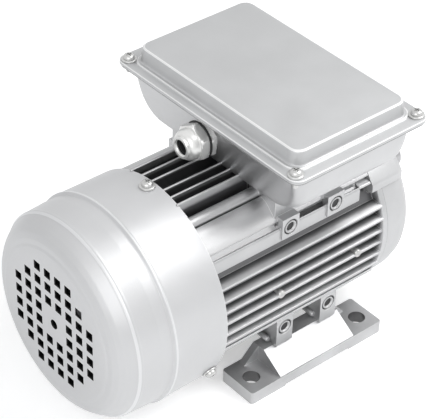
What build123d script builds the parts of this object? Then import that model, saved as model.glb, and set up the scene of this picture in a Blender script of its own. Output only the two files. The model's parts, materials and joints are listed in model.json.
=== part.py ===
from build123d import *
import os
from math import atan2, cos, radians, sin, sqrt

# Mounting sizes, in millimetres
shaft_height = 80.0
foot_hole_pitch_x = 100.0
foot_hole_pitch_y = 125.0
foot_hole_radius = 6.25
shoulder_x = 100.0
shaft_end_length = 40.0
shaft_end_radius = 9.5

# Clearances
fit_gap = 0.04
running_gap = 0.06
free_gap = 0.4
lap = 1.0
thread_spare = 1.0

# Stator frame
frame_front = 67.4
frame_back = -86.6
bore_radius = 56.0
frame_wall = 5.0
corner_radius = 73.4
side_reach = 67.0
side_circle = 69.8
side_shoulder = 59.8
fin_thickness = 2.4
side_fin_levels = (4.9, 14.7, 24.5)
top_fin_offsets = (6.3, 15.3, 24.0)
corner_outline = ((38.4, 52.6), (38.4, 60.6), (44.4, 58.4), (59.8, 58.4), (59.8, 33.5), (48.8, 33.5))
rib_y = 32.9
rib_z = 60.6
rib_radius = 4.6
slot_angle = 39.4
slot_width = 3.0
slot_depth = 3.2
front_step_x = 57.0
front_ring_radius = 68.0
front_ring_length = 4.0
pocket_back = 47.5
pocket_front = 62.0
pocket_floor = 59.6
pocket_inner = 46.0
pocket_low = 28.5
pocket_high = 43.0

# Bosses that take the feet, two high and two low on each side
boss_x = (-18.05, 22.75)
boss_width = 14.8
boss_root = 46.0
boss_top = 52.0
boss_bottom = 35.5
boss_hole_level = 43.8
boss_hole_radius = 3.4
boss_hole_depth = 9.0
boss_recess_radius = 6.0
boss_recess_depth = 0.9

# Pad under the terminal box
pad_back = -25.4
pad_front = 46.0
pad_rise = 68.0
pad_margin = 2.0
window_x = 10.0
window_length = 36.0
window_inset = 32.0

# Feet
foot_half_length = 61.2
foot_outer = 76.3
foot_inner = 44.5
foot_thickness = 10.0
foot_corner = 2.0
ridge_drop = 58.0
ridge_half_length = 34.5
ridge_outer = 57.0
ridge_inner = 46.0
slope_outer = 75.6
gusset_half_length = 47.0
relief_half_length = 30.0
relief_depth = 1.4
foot_screw_radius = 3.0
foot_screw_y = 51.5
foot_screw_head_radius = 5.0
foot_screw_head = 6.0
foot_screw_grip = 8.0
foot_screw_recess = 8.0
socket_flats = 5.0
socket_depth = 3.0

# Screws that hold the magnetic core in the frame
lock_screw_x = (-29.6, 41.0)
lock_screw_level = -4.0
lock_screw_radius = 2.5
lock_screw_tip = 53.8
lock_screw_end = 66.0

# Magnetic core, winding and rotor
core_back = -50.0
core_front = 38.0
stator_inner_radius = 36.0
stator_slots = 24
slot_inner = 39.4
slot_outer = 50.5
slot_body_width = 5.2
slot_mouth = 2.4
insulation = 0.35
end_turn_length = 20.5
end_turn_outer = 53.4
end_turn_inner = 38.6
end_turn_round = 3.5
rotor_radius = 35.6
rotor_bars = 18
bar_outer = 34.4
bar_depth = 8.0
bar_width = 3.2
end_ring_length = 9.0
end_ring_inner = 23.0
paddle_length = 7.0
paddle_width = 3.0
paddle_count = 9

# Shaft
core_seat_radius = 12.0
bearing_seat_radius = 10.0
fan_seat_radius = 8.0
shaft_back = -147.0
fan_shoulder_x = -108.0
shaft_chamfer = 1.0
key_width = 6.0
key_height = 6.0
key_depth = 3.5
key_length = 30.0
key_margin = 5.0
centre_hole_radius = 2.5
centre_hole_depth = 16.0
centre_mouth_radius = 3.4

# Ball bearings
bearing_outer_radius = 23.5
bearing_width = 14.0
ball_radius = 3.97
ball_circle = 16.75
ball_count = 8
inner_race_radius = 13.9
outer_race_radius = 19.6
cage_half_width = 5.0
cage_half_thickness = 0.8
cage_clearance = 0.1
front_bearing_x = 85.0
rear_bearing_x = -96.2

# Drive end shield
shield_spigot = 4.0
spigot_wall = 4.5
shield_hub_front = 97.0
hub_radius = 29.0
shield_inner_radius = 60.5
shield_curve = ((80.0, 67.3), (87.0, 65.4), (91.5, 62.2), (94.3, 57.5), (95.5, 51.0), (95.5, 47.0), (93.5, 44.0),
                (93.5, 33.0))
shield_cavity = ((88.5, 48.0), (86.5, 56.0), (83.5, 60.5), (73.4, 60.5), (70.4, 51.5))
lug_front = 85.0
lug_base = 35.8
lug_gap = 0.3
front_screw_angle = 34.5
front_screw_circle = 64.0
front_screw_boss = 4.4
end_screw_radius = 2.5
end_screw_head_radius = 4.0
end_screw_head = 3.6
end_screw_grip = 12.0
shaft_seal_radius = 15.0
shaft_seal_width = 4.0

# Rear shield
rear_shield_back = -96.6
rear_wall_front = -91.0
rear_shield_radius = 62.0
rear_hub_back = -106.4
rear_hub_front = -88.0
rear_pocket_back = -104.4
rear_screw_circle = 65.5
rear_ear_radius = 7.0
cowl_lug_width = 14.0

# Fan and cowl
cowl_radius = 76.07
cowl_sheet = 1.3
cowl_outline = ((-85.3, 76.07), (-119.0, 75.85), (-126.4, 75.7), (-127.6, 75.0), (-138.0, 74.8),
                (-152.4, 72.9), (-157.4, 70.9), (-161.6, 67.6), (-164.9, 63.3), (-167.4, 58.0),
                (-168.2, 57.1), (-169.1, 56.3))
grille_pitch = 11.06
grille_hole = 6.7
grille_cells = (-3.5, -2.5, -1.5, -0.5, 0.5, 1.5, 2.5, 3.5)
grille_near = 1.0
grille_far = 16.0
grille_centre_radius = 3.6
cowl_screw_x = -91.7
cowl_screw_angles = (90.0, 210.0, 330.0)
cowl_screw_radius = 2.0
cowl_screw_grip = 9.0
screw_head_radius = 4.0
screw_head = 2.6
screw_washer_radius = 5.4
screw_washer = 1.0
cross_width = 1.1
cross_length = 4.4
cross_depth = 1.6
fan_disc_x = -114.0
fan_disc_thickness = 2.4
fan_radius = 66.0
fan_tip_x = -128.0
fan_tip_radius = 54.0
fan_blade_end = -139.0
fan_blade_thickness = 2.0
fan_blades = 7
fan_hub_radius = 14.0
fan_hub_end = -143.0
circlip_radius = 10.6
circlip_thickness = 1.0
circlip_groove = 0.5

# Terminal box
box_x = 12.6
box_gasket_thickness = 2.0
box_depth = 34.0
box_wall = 3.2
box_shape = ((0.0, 13.2, 30.0), (0.06, 12.9, 23.0), (0.19, 12.2, 17.0), (0.38, 11.3, 12.8),
             (0.65, 9.9, 10.0), (1.0, 8.1, 9.0))
box_corner = 9.0
flange_half_x = 59.5
flange_half_y = 92.0
flange_corner = 8.0
base_flange = 3.0
cover_gasket_thickness = 0.8
cover_flange = 2.7
cover_shape = ((0.0, 7.1, 10.5), (1.1, 7.7, 11.1), (1.9, 10.9, 13.4), (6.5, 13.7, 14.6),
               (7.5, 14.5, 15.4))
cover_corner = 7.0
cover_sheet = 2.4
cover_screw_inset_x = 6.4
cover_screw_inset_y = 7.6
cover_screw_radius = 2.0
pad_inset = 40.0
box_screw_half_x = 27.0
box_screw_inset = 14.0
box_screw_radius = 2.5
box_screw_head_radius = 4.5
box_screw_head = 3.0
box_screw_grip = 10.0

# Capacitor and terminals
capacitor_length = 84.0
capacitor_radius = 18.0
capacitor_inset = 41.0
capacitor_rim = 1.0
capacitor_cap_length = 5.0
capacitor_tab_length = 5.0
capacitor_tab_width = 6.0
strap_thickness = 1.0
strap_width = 12.0
strap_foot = 10.0
small_screw_radius = 2.0
small_screw_head_radius = 3.6
small_screw_head = 2.4
terminal_x = 28.0
terminal_inset = 18.0
board_rise = 9.0
board_thickness = 3.0
board_length = 46.0
board_width = 30.0
board_post_radius = 3.6
board_post_y = 19.0
stud_radius = 2.0
stud_pitch_x = 16.0
stud_pitch_y = 11.0
stud_below = 2.0
stud_above = 12.0
link_thickness = 1.0
link_width = 6.0
nut_flats = 7.0
nut_height = 3.2
earth_x = -20.0
earth_inset = 27.0
earth_boss_radius = 4.5
earth_boss_height = 3.0

# Cable gland
gland_y = 5.0
gland_rise = 20.0
gland_flats = 24.0
gland_seat_x = -39.0
gland_seat_radius = 13.6
gland_boss = 7.6
gland_ring = 1.5
gland_ring_radius = 12.2
gland_base_hex = 2.6
gland_collar_radius = 10.4
gland_nut_hex = 7.0
gland_dome = 8.5
gland_dome_radius = 10.7
gland_dome_round = 0.7
gland_lip_radius = 8.0
gland_lip = 1.6
gland_opening_radius = 5.6
gland_thread_radius = 9.9
gland_bore_radius = 7.0
gland_sleeve_radius = 9.0
gland_locknut_height = 4.0
gland_thread_spare = 2.0

shaft_line = Axis((0, 0, shaft_height), (1, 0, 0))
lengthwise = Plane(origin=(0, 0, shaft_height), x_dir=(1, 0, 0), z_dir=(0, -1, 0))
sides = (1, -1)
quarters = [(y_side, z_side) for y_side in sides for z_side in sides]
shaft_front = shoulder_x + shaft_end_length
wall_radius = bore_radius + frame_wall
frame_length = frame_front - frame_back
spigot_radius = bore_radius - fit_gap
front_bearing_back = front_bearing_x - bearing_width / 2
front_bearing_front = front_bearing_x + bearing_width / 2
rear_bearing_front = rear_bearing_x + bearing_width / 2
rear_bearing_back = rear_bearing_x - bearing_width / 2
pocket_radius = bearing_outer_radius + fit_gap
cowl_reach = cowl_radius - cowl_sheet - 3 * fit_gap
ridge_z = shaft_height - ridge_drop
pad_top = shaft_height + pad_rise
pad_half_width = flange_half_y - pad_inset
window_width = 2 * (pad_half_width - window_inset)
box_floor_z = pad_top + box_gasket_thickness
box_rim_z = box_floor_z + box_depth
flange_z = box_rim_z + base_flange
cover_z = flange_z + cover_gasket_thickness
cover_flange_z = cover_z + cover_flange
cover_screw_grip = screw_washer + cover_flange_z - box_rim_z - free_gap
floor_top = box_floor_z + box_wall
board_z = box_floor_z + board_rise
terminal_y = pad_half_width - terminal_inset
earth_y = pad_half_width - earth_inset
capacitor_y = capacitor_inset - flange_half_y
gland_z = box_floor_z + gland_rise


def box_section(z, inset_x, inset_y):
    """A height of the terminal box with its half length and half width there."""
    return (z, flange_half_x - inset_x, flange_half_y - inset_y)


box_levels = [box_section(box_floor_z + share * box_depth, *insets) for share, *insets in box_shape]
cover_levels = [box_section(cover_flange_z + rise, *insets) for rise, *insets in cover_shape]


def across(x):
    """The plane square to the shaft at x, with its own x along +Y and y along +Z."""
    return Plane(origin=(x, 0, shaft_height), x_dir=(0, 1, 0), z_dir=(1, 0, 0))


def level(z):
    """The horizontal plane at a height."""
    return Plane.XY.offset(z)


def sideways(y):
    """The upright plane at y, facing away from the shaft."""
    return Plane(origin=(0, y, shaft_height), x_dir=(1, 0, 0), z_dir=(0, 1 if y > 0 else -1, 0))


def outward(x, angle, radius):
    """The plane at a point of a circle about the shaft, facing outwards."""
    facing = (0, cos(radians(angle)), sin(radians(angle)))
    origin = (x, radius * facing[1], shaft_height + radius * facing[2])
    return Plane(origin=origin, x_dir=(1, 0, 0), z_dir=facing)


def polar(radius, angle):
    """A point of a section plane by its radius and angle."""
    return (radius * cos(radians(angle)), radius * sin(radians(angle)))


def turn(outline, mode=Mode.ADD):
    """Turn a closed outline of (x, radius) points about the shaft line."""
    with BuildSketch(lengthwise) as profile:
        with BuildLine():
            Polyline(*outline, close=True)
        make_face()
    revolve(profile.sketch, axis=shaft_line, mode=mode)


def tube(start, end, inner, outer, mode=Mode.ADD):
    """A tube about the shaft line."""
    turn([(start, inner), (end, inner), (end, outer), (start, outer)], mode)


def rod(plane, radius, length, mode=Mode.ADD, places=((0, 0),), taper=0.0):
    """Round rods that stand on a plane."""
    with BuildSketch(plane) as profile:
        with Locations(*places):
            Circle(radius)
    extrude(profile.sketch, amount=length, mode=mode, taper=taper)


def hexagon(plane, flats, length, mode=Mode.ADD, places=((0, 0),)):
    """Hexagonal rods that stand on a plane."""
    with BuildSketch(plane) as profile:
        with Locations(*places):
            RegularPolygon(flats / 2, 6, major_radius=False, rotation=30)
    extrude(profile.sketch, amount=length, mode=mode)


def slab(plane, length, width, height, mode=Mode.ADD, places=((0, 0),), corner=0.0):
    """Rectangular plates that stand on a plane."""
    with BuildSketch(plane) as profile:
        with Locations(*places):
            if corner:
                RectangleRounded(length, width, corner)
            else:
                Rectangle(length, width)
    extrude(profile.sketch, amount=height, mode=mode)


def stack(levels, corner, mode=Mode.ADD):
    """A body through rounded rectangles over the box centre, each (z, half length, half width)."""
    faces = []
    for z, half_x, half_y in levels:
        with BuildSketch(level(z)) as section:
            with Locations((box_x, 0)):
                RectangleRounded(2 * half_x, 2 * half_y, corner)
        faces.append(section.sketch)
    loft(faces, ruled=True, mode=mode)


def cross(plane, places=((0, 0),)):
    """Cross slots sunk into screw heads from a plane at their tops."""
    slab(plane, cross_length, cross_width, -cross_depth, Mode.SUBTRACT, places)
    slab(plane, cross_width, cross_length, -cross_depth, Mode.SUBTRACT, places)


def save(builder, name):
    """Label a finished piece and write it to its own file."""
    builder.part.label = name
    export_step(builder.part, os.path.join("parts", name + ".step"))


os.makedirs("parts", exist_ok=True)

# Places shared by the pieces that screws join
front_spot = polar(front_screw_circle, front_screw_angle)
front_screw_places = [(y_side * front_spot[0], z_side * front_spot[1]) for y_side, z_side in quarters]
rear_spot = polar(rear_screw_circle, 45)
rear_screw_places = [(y_side * rear_spot[0], z_side * rear_spot[1]) for y_side, z_side in quarters]
foot_screw_places = [(x, y_side * foot_screw_y) for x in boss_x for y_side in sides]
box_screw_half_y = pad_half_width - box_screw_inset
box_screw_places = [(box_x + a * box_screw_half_x, b * box_screw_half_y) for a, b in quarters]
cover_screw_half_x = flange_half_x - cover_screw_inset_x
cover_screw_half_y = flange_half_y - cover_screw_inset_y
cover_screw_places = [(box_x + a * cover_screw_half_x, b * cover_screw_half_y) for a, b in quarters]
pad_middle = [((pad_back + pad_front) / 2, 0)]
pad_length = pad_front - pad_back
lock_levels = {y_side: [(x, -y_side * lock_screw_level) for x in lock_screw_x] for y_side in sides}

# Stator frame: finned barrel with the foot bosses and the terminal box pad
with BuildPart() as stator_frame:
    with BuildSketch(across(frame_back)) as section:
        Circle(wall_radius)
        for height in side_fin_levels:
            tip = min(side_reach, sqrt(side_circle ** 2 - height ** 2))
            with Locations((0, height), (0, -height)):
                Rectangle(2 * tip, fin_thickness)
        for offset_y in top_fin_offsets:
            with Locations((offset_y, 0), (-offset_y, 0)):
                Rectangle(fin_thickness, 2 * corner_radius)
        for y_side, z_side in quarters:
            with BuildLine():
                Polyline(*[(y_side * y, z_side * z) for y, z in corner_outline], close=True)
            make_face()
            with Locations((y_side * rib_y, z_side * rib_z)):
                Circle(rib_radius)
        Circle(corner_radius, mode=Mode.INTERSECT)
        for angle in (slot_angle, 180 - slot_angle, 180 + slot_angle, -slot_angle):
            with Locations(Location((*polar(corner_radius, angle), 0), (0, 0, angle))):
                Rectangle(2 * slot_depth, slot_width, mode=Mode.SUBTRACT)
    extrude(section.sketch, amount=frame_length)
    tube(front_step_x, frame_front, front_ring_radius, 2 * corner_radius, Mode.SUBTRACT)
    tube(frame_front - front_ring_length, frame_front, bore_radius, front_ring_radius)
    boss_places = [(x, y_side * (side_shoulder + boss_root) / 2) for x in boss_x for y_side in sides]
    slab(level(shaft_height + boss_bottom), boss_width, side_shoulder - boss_root, boss_top - boss_bottom,
         places=boss_places)
    slab(level(ridge_z), boss_width, side_shoulder - boss_root, shaft_height - boss_bottom - ridge_z,
         places=boss_places)
    pad_root = shaft_height + corner_outline[-1][1]
    slab(level(pad_root), pad_length, 2 * pad_half_width, pad_top - pad_root, places=pad_middle)
    slab(level(pad_top), 2 * box_levels[1][1] + pad_margin, 2 * pad_half_width, corner_radius, Mode.SUBTRACT,
         [(box_x, 0)])
    with BuildSketch(across(pocket_back)) as pocket:
        for y_side, z_side in quarters:
            with Locations((y_side * (pocket_inner + corner_radius) / 2, z_side * (pocket_low + pocket_high) / 2)):
                Rectangle(corner_radius - pocket_inner, pocket_high - pocket_low)
        Circle(pocket_floor, mode=Mode.SUBTRACT)
    extrude(pocket.sketch, amount=pocket_front - pocket_back, mode=Mode.SUBTRACT)
    for y_side in sides:
        face = sideways(y_side * side_shoulder)
        spots = [(boss, z_side * boss_hole_level) for boss in boss_x for z_side in sides]
        rod(face, boss_recess_radius, -boss_recess_depth, Mode.SUBTRACT, spots)
        rod(face, boss_hole_radius, -boss_hole_depth, Mode.SUBTRACT, spots)
        rod(sideways(y_side * lock_screw_tip), lock_screw_radius + fit_gap, lock_screw_end - lock_screw_tip,
            Mode.SUBTRACT, lock_levels[y_side])
    rod(level(ridge_z), foot_screw_radius + fit_gap, foot_screw_grip + thread_spare, Mode.SUBTRACT,
        foot_screw_places)
    rod(across(frame_back), end_screw_radius + fit_gap, end_screw_grip, Mode.SUBTRACT, rear_screw_places)
    rod(across(frame_front), end_screw_radius + fit_gap, pocket_front - frame_front, Mode.SUBTRACT,
        front_screw_places)
    rod(level(pad_top), box_screw_radius + fit_gap, -box_screw_grip, Mode.SUBTRACT, box_screw_places)
    rod(across(frame_back), bore_radius, frame_length, Mode.SUBTRACT)
    slab(level(shaft_height), window_length, window_width, pad_top - shaft_height, Mode.SUBTRACT, [(window_x, 0)])
save(stator_frame, "stator_frame")

with BuildPart() as stator_lock_screws:
    for y_side in sides:
        rod(sideways(y_side * lock_screw_tip), lock_screw_radius, lock_screw_end - lock_screw_tip,
            places=lock_levels[y_side])
save(stator_lock_screws, "stator_lock_screws")

# Laminated core and the winding in its slots
slot_middle = (slot_inner + slot_outer) / 2
with BuildPart() as stator_core:
    with BuildSketch(across(core_back)) as section:
        Circle(bore_radius - fit_gap)
        Circle(stator_inner_radius, mode=Mode.SUBTRACT)
        with PolarLocations(slot_middle, stator_slots):
            Rectangle(slot_outer - slot_inner, slot_body_width, mode=Mode.SUBTRACT)
        with PolarLocations((stator_inner_radius + slot_inner) / 2, stator_slots):
            Rectangle(slot_inner - stator_inner_radius + lap, slot_mouth, mode=Mode.SUBTRACT)
    extrude(section.sketch, amount=core_front - core_back)
    for y_side in sides:
        rod(sideways(y_side * lock_screw_tip), lock_screw_radius + fit_gap, bore_radius - lock_screw_tip,
            Mode.SUBTRACT, lock_levels[y_side])
save(stator_core, "stator_core")

with BuildPart() as stator_winding:
    for start, way in ((core_back - insulation, -1), (core_front + insulation, 1)):
        end = start + way * end_turn_length
        soft = end - way * end_turn_round
        turn([(start, end_turn_inner), (soft, end_turn_inner), (end, end_turn_inner + end_turn_round),
              (end, end_turn_outer - end_turn_round), (soft, end_turn_outer), (start, end_turn_outer)])
    with BuildSketch(across(core_back - lap)) as bars:
        with PolarLocations(slot_middle, stator_slots):
            Rectangle(slot_outer - slot_inner - 2 * insulation, slot_body_width - 2 * insulation)
    extrude(bars.sketch, amount=core_front - core_back + 2 * lap)
save(stator_winding, "stator_winding")

# Rotor core and the cast cage with its paddles
bar_radius = bar_outer - bar_depth / 2
with BuildPart() as rotor_core:
    with BuildSketch(across(core_back)) as section:
        Circle(rotor_radius)
        Circle(core_seat_radius + fit_gap, mode=Mode.SUBTRACT)
        with PolarLocations(bar_radius, rotor_bars):
            Rectangle(bar_depth, bar_width, mode=Mode.SUBTRACT)
    extrude(section.sketch, amount=core_front - core_back)
save(rotor_core, "rotor_core")

with BuildPart() as rotor_cage:
    with BuildSketch(across(core_back - lap)) as bars:
        with PolarLocations(bar_radius, rotor_bars):
            Rectangle(bar_depth - 2 * fit_gap, bar_width - 2 * fit_gap)
    extrude(bars.sketch, amount=core_front - core_back + 2 * lap)
    tube(core_front, core_front + end_ring_length, end_ring_inner, bar_outer)
    tube(core_back - end_ring_length, core_back, end_ring_inner, bar_outer)
    for start in (core_front + end_ring_length - lap, core_back - end_ring_length - paddle_length):
        with BuildSketch(across(start)) as section:
            with PolarLocations(bar_radius, paddle_count):
                Rectangle(bar_depth - 2 * fit_gap, paddle_width)
        extrude(section.sketch, amount=paddle_length + lap)
save(rotor_cage, "rotor_cage")

# Shaft with its keyway, threaded centre and ring groove
circlip_back = fan_hub_end - fit_gap - circlip_thickness
with BuildPart() as shaft:
    turn([(shaft_back, 0), (shaft_back, fan_seat_radius - shaft_chamfer),
          (shaft_back + shaft_chamfer, fan_seat_radius), (fan_shoulder_x, fan_seat_radius), (fan_shoulder_x, bearing_seat_radius),
          (rear_bearing_front, bearing_seat_radius), (rear_bearing_front, core_seat_radius),
          (front_bearing_back, core_seat_radius), (front_bearing_back, bearing_seat_radius),
          (shoulder_x, bearing_seat_radius), (shoulder_x, shaft_end_radius),
          (shaft_front - shaft_chamfer, shaft_end_radius), (shaft_front, shaft_end_radius - shaft_chamfer),
          (shaft_front, centre_mouth_radius), (shaft_front - shaft_chamfer, centre_hole_radius),
          (shaft_front - centre_hole_depth, centre_hole_radius), (shaft_front - centre_hole_depth, 0)])
    tube(circlip_back - fit_gap, fan_hub_end, fan_seat_radius - circlip_groove, circlip_radius, Mode.SUBTRACT)
    key_floor = level(shaft_height + shaft_end_radius - key_depth)
    key_middle = shoulder_x + key_margin + key_length / 2
    with BuildSketch(key_floor) as keyway:
        with Locations((key_middle, 0)):
            SlotOverall(key_length + 2 * fit_gap, key_width + 2 * fit_gap)
    extrude(keyway.sketch, amount=2 * key_depth, mode=Mode.SUBTRACT)
save(shaft, "shaft")

with BuildPart() as shaft_key:
    with BuildSketch(key_floor) as section:
        with Locations((key_middle, 0)):
            SlotOverall(key_length, key_width)
    extrude(section.sketch, amount=key_height)
save(shaft_key, "shaft_key")


def race(x):
    """The ball track cut into a bearing ring."""
    with BuildSketch(lengthwise) as track:
        with Locations((x, ball_circle)):
            Circle(ball_radius + running_gap)
    revolve(track.sketch, axis=shaft_line, mode=Mode.SUBTRACT)


def bearing(x, name):
    """A deep groove ball bearing in four pieces."""
    start = x - bearing_width / 2
    end = x + bearing_width / 2
    with BuildPart() as outer_ring:
        tube(start, end, outer_race_radius, bearing_outer_radius)
        race(x)
    save(outer_ring, name + "_bearing_outer_ring")
    with BuildPart() as inner_ring:
        tube(start, end, bearing_seat_radius + fit_gap, inner_race_radius)
        race(x)
    save(inner_ring, name + "_bearing_inner_ring")
    turns = [360 * k / ball_count for k in range(ball_count)]
    with BuildPart() as balls:
        with Locations(*[(x, y, shaft_height + z) for y, z in (polar(ball_circle, a) for a in turns)]):
            Sphere(ball_radius)
    save(balls, name + "_bearing_balls")
    with BuildPart() as cage:
        tube(x - cage_half_width, x + cage_half_width, ball_circle - cage_half_thickness,
             ball_circle + cage_half_thickness)
        for angle in turns:
            rod(outward(x, angle, ball_circle - 2 * cage_half_thickness), ball_radius + cage_clearance,
                4 * cage_half_thickness, Mode.SUBTRACT)
    save(cage, name + "_bearing_cage")


bearing(front_bearing_x, "drive")
bearing(rear_bearing_x, "rear")

# Drive end shield: spigot, bell, bearing housing and four corner lugs
with BuildPart() as drive_end_shield:
    with BuildSketch(across(front_step_x + lug_gap)) as lugs:
        for y_side, z_side in quarters:
            with BuildLine():
                Polyline(*[(y_side * y, z_side * max(z, lug_base)) for y, z in corner_outline], close=True)
            make_face()
        Circle(corner_radius, mode=Mode.INTERSECT)
    extrude(lugs.sketch, amount=lug_front - front_step_x - lug_gap)
    rod(across(front_step_x), front_ring_radius + lug_gap / 2, frame_front - front_step_x, Mode.SUBTRACT)
    rod(across(frame_front), front_screw_boss, lug_front - frame_front, places=front_screw_places)
    rod(across(frame_front), shield_inner_radius, lug_front - frame_front, Mode.SUBTRACT)
    turn([(frame_front - shield_spigot, spigot_radius - spigot_wall), (frame_front - shield_spigot, spigot_radius),
          (frame_front, spigot_radius), (frame_front, front_ring_radius), *shield_curve,
          (shield_hub_front, hub_radius), (shield_hub_front, shaft_seal_radius + fit_gap),
          (front_bearing_front, shaft_seal_radius + fit_gap), (front_bearing_front, pocket_radius),
          (front_bearing_back - 2 * lap, pocket_radius), (front_bearing_back - 2 * lap, hub_radius),
          (shield_cavity[0][0], hub_radius), *shield_cavity])
    rod(across(pocket_front), end_screw_radius + fit_gap, end_screw_grip + frame_front - pocket_front,
        Mode.SUBTRACT, front_screw_places)
save(drive_end_shield, "drive_end_shield")

with BuildPart() as drive_shaft_seal:
    seal_front = shield_hub_front - free_gap
    seal_back = seal_front - shaft_seal_width
    turn([(seal_back, bearing_seat_radius + running_gap), (seal_back + lap, bearing_seat_radius + running_gap),
          (seal_front - lap, bearing_seat_radius + 2 * lap), (seal_front, bearing_seat_radius + 2 * lap),
          (seal_front, shaft_seal_radius), (seal_back, shaft_seal_radius)])
save(drive_shaft_seal, "drive_shaft_seal")


def end_screws(x, way, length, places, name):
    """Cap screws parallel to the shaft with their heads seated at x."""
    with BuildPart() as screws:
        rod(across(x), end_screw_radius, way * length, places=places)
        rod(across(x), end_screw_head_radius, -way * end_screw_head, places=places)
        hexagon(across(x - way * end_screw_head), end_screw_head_radius, way * end_screw_head / 2,
                Mode.SUBTRACT, places)
    save(screws, name)


end_screws(pocket_front, 1, end_screw_grip + frame_front - pocket_front - thread_spare, front_screw_places,
           "drive_shield_screws")
end_screws(rear_shield_back, 1, frame_back - rear_shield_back + end_screw_grip - thread_spare, rear_screw_places,
           "rear_shield_screws")

# Rear shield inside the cowl
with BuildPart() as rear_end_shield:
    with BuildSketch(across(rear_shield_back)) as section:
        Circle(rear_shield_radius)
        with Locations(*rear_screw_places):
            Circle(rear_ear_radius)
        for angle in cowl_screw_angles:
            with Locations(Location((*polar(cowl_reach / 2 + lap, angle), 0), (0, 0, angle))):
                Rectangle(cowl_reach, cowl_lug_width)
        Circle(cowl_reach, mode=Mode.INTERSECT)
    extrude(section.sketch, amount=frame_back - rear_shield_back)
    tube(frame_back, frame_back + shield_spigot, spigot_radius - spigot_wall, spigot_radius)
    rod(across(rear_wall_front), spigot_radius - spigot_wall, frame_back + shield_spigot - rear_wall_front,
        Mode.SUBTRACT)
    tube(rear_hub_back, rear_hub_front, 0, hub_radius)
    rod(across(rear_pocket_back), pocket_radius, rear_hub_front - rear_pocket_back, Mode.SUBTRACT)
    rod(across(rear_hub_back), bearing_seat_radius + free_gap, bearing_width, Mode.SUBTRACT)
    rod(across(rear_shield_back), end_screw_radius + fit_gap, frame_back - rear_shield_back, Mode.SUBTRACT,
        rear_screw_places)
    for angle in cowl_screw_angles:
        rod(outward(cowl_screw_x, angle, cowl_radius), cowl_screw_radius + fit_gap, -cowl_screw_grip - thread_spare,
            Mode.SUBTRACT)
save(rear_end_shield, "rear_end_shield")

with BuildPart() as preload_washer:
    tube(rear_pocket_back, rear_bearing_back, outer_race_radius, bearing_outer_radius)
save(preload_washer, "preload_washer")

# Fan and its ring
with BuildPart() as fan:
    tube(fan_hub_end, fan_shoulder_x, fan_seat_radius + fit_gap, fan_hub_radius)
    tube(fan_disc_x - fan_disc_thickness, fan_disc_x, fan_hub_radius - lap, fan_radius)
    for k in range(fan_blades):
        facing = (0, *polar(1, 360 * k / fan_blades))
        blade_plane = Plane(origin=(0, 0, shaft_height), x_dir=(1, 0, 0), z_dir=facing)
        with BuildSketch(blade_plane) as blade:
            with BuildLine():
                Polyline((fan_disc_x - lap, fan_hub_radius - lap), (fan_disc_x - lap, fan_radius), (fan_tip_x, fan_radius),
                         (fan_blade_end, fan_tip_radius), (fan_blade_end, fan_hub_radius - lap), close=True)
            make_face()
        extrude(blade.sketch, amount=fan_blade_thickness / 2, both=True)
save(fan, "fan")

with BuildPart() as fan_circlip:
    with BuildSketch(across(circlip_back)) as section:
        Circle(circlip_radius)
        Circle(fan_seat_radius - circlip_groove + fit_gap, mode=Mode.SUBTRACT)
        with Locations((0, circlip_radius)):
            Rectangle(circlip_radius / 2, circlip_radius, mode=Mode.SUBTRACT)
    extrude(section.sketch, amount=circlip_thickness)
save(fan_circlip, "fan_circlip")


def inset(points, distance):
    """A line of (x, radius) points moved in towards the shaft and the open end."""
    moved = []
    for k, (x, radius) in enumerate(points):
        before = points[max(k - 1, 0)]
        after = points[min(k + 1, len(points) - 1)]
        tilt = atan2(before[1] - after[1], before[0] - after[0])
        moved.append((x + distance * sin(tilt), radius - distance * cos(tilt)))
    return moved


# Pressed cowl with its grille
rim_x = cowl_outline[0][0]
face_x, face_radius = cowl_outline[-1]
with BuildPart() as fan_cover:
    inner_line = inset(cowl_outline, cowl_sheet)[1:-1]
    turn([(face_x, 0), *reversed(cowl_outline), (rim_x, cowl_radius - cowl_sheet), *inner_line,
          (face_x + cowl_sheet, face_radius - cowl_sheet / 2), (face_x + cowl_sheet, 0)])
    with BuildSketch(across(face_x)) as grille:
        spots = [(grille_pitch * a, grille_pitch * b) for a in grille_cells for b in grille_cells
                 if grille_near < a * a + b * b < grille_far]
        with Locations(*spots):
            Rectangle(grille_hole, grille_hole)
        Circle(grille_centre_radius)
    extrude(grille.sketch, amount=2 * cowl_sheet, mode=Mode.SUBTRACT)
    for angle in cowl_screw_angles:
        rod(outward(cowl_screw_x, angle, cowl_radius + lap), cowl_screw_radius + free_gap, -2 * cowl_sheet - lap,
            Mode.SUBTRACT)
save(fan_cover, "fan_cover")


def washers(planes, places, name):
    """Plain washers standing on their seats."""
    with BuildPart() as rings:
        for plane in planes:
            rod(plane, screw_washer_radius, screw_washer, places=places)
            rod(plane, cowl_screw_radius + fit_gap, screw_washer, Mode.SUBTRACT, places)
    save(rings, name)


def pan_screws(planes, places, grip, name):
    """Cross-slotted pan head screws on their washers."""
    with BuildPart() as screws:
        for plane in planes:
            seat = plane.offset(screw_washer)
            rod(seat, cowl_screw_radius, -grip, places=places)
            rod(seat, screw_head_radius, screw_head, places=places, taper=14)
            cross(seat.offset(screw_head), places)
    save(screws, name)


cowl_planes = [outward(cowl_screw_x, angle, cowl_radius) for angle in cowl_screw_angles]
washers(cowl_planes, [(0, 0)], "fan_cover_washers")
pan_screws(cowl_planes, [(0, 0)], cowl_screw_grip, "fan_cover_screws")


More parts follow.
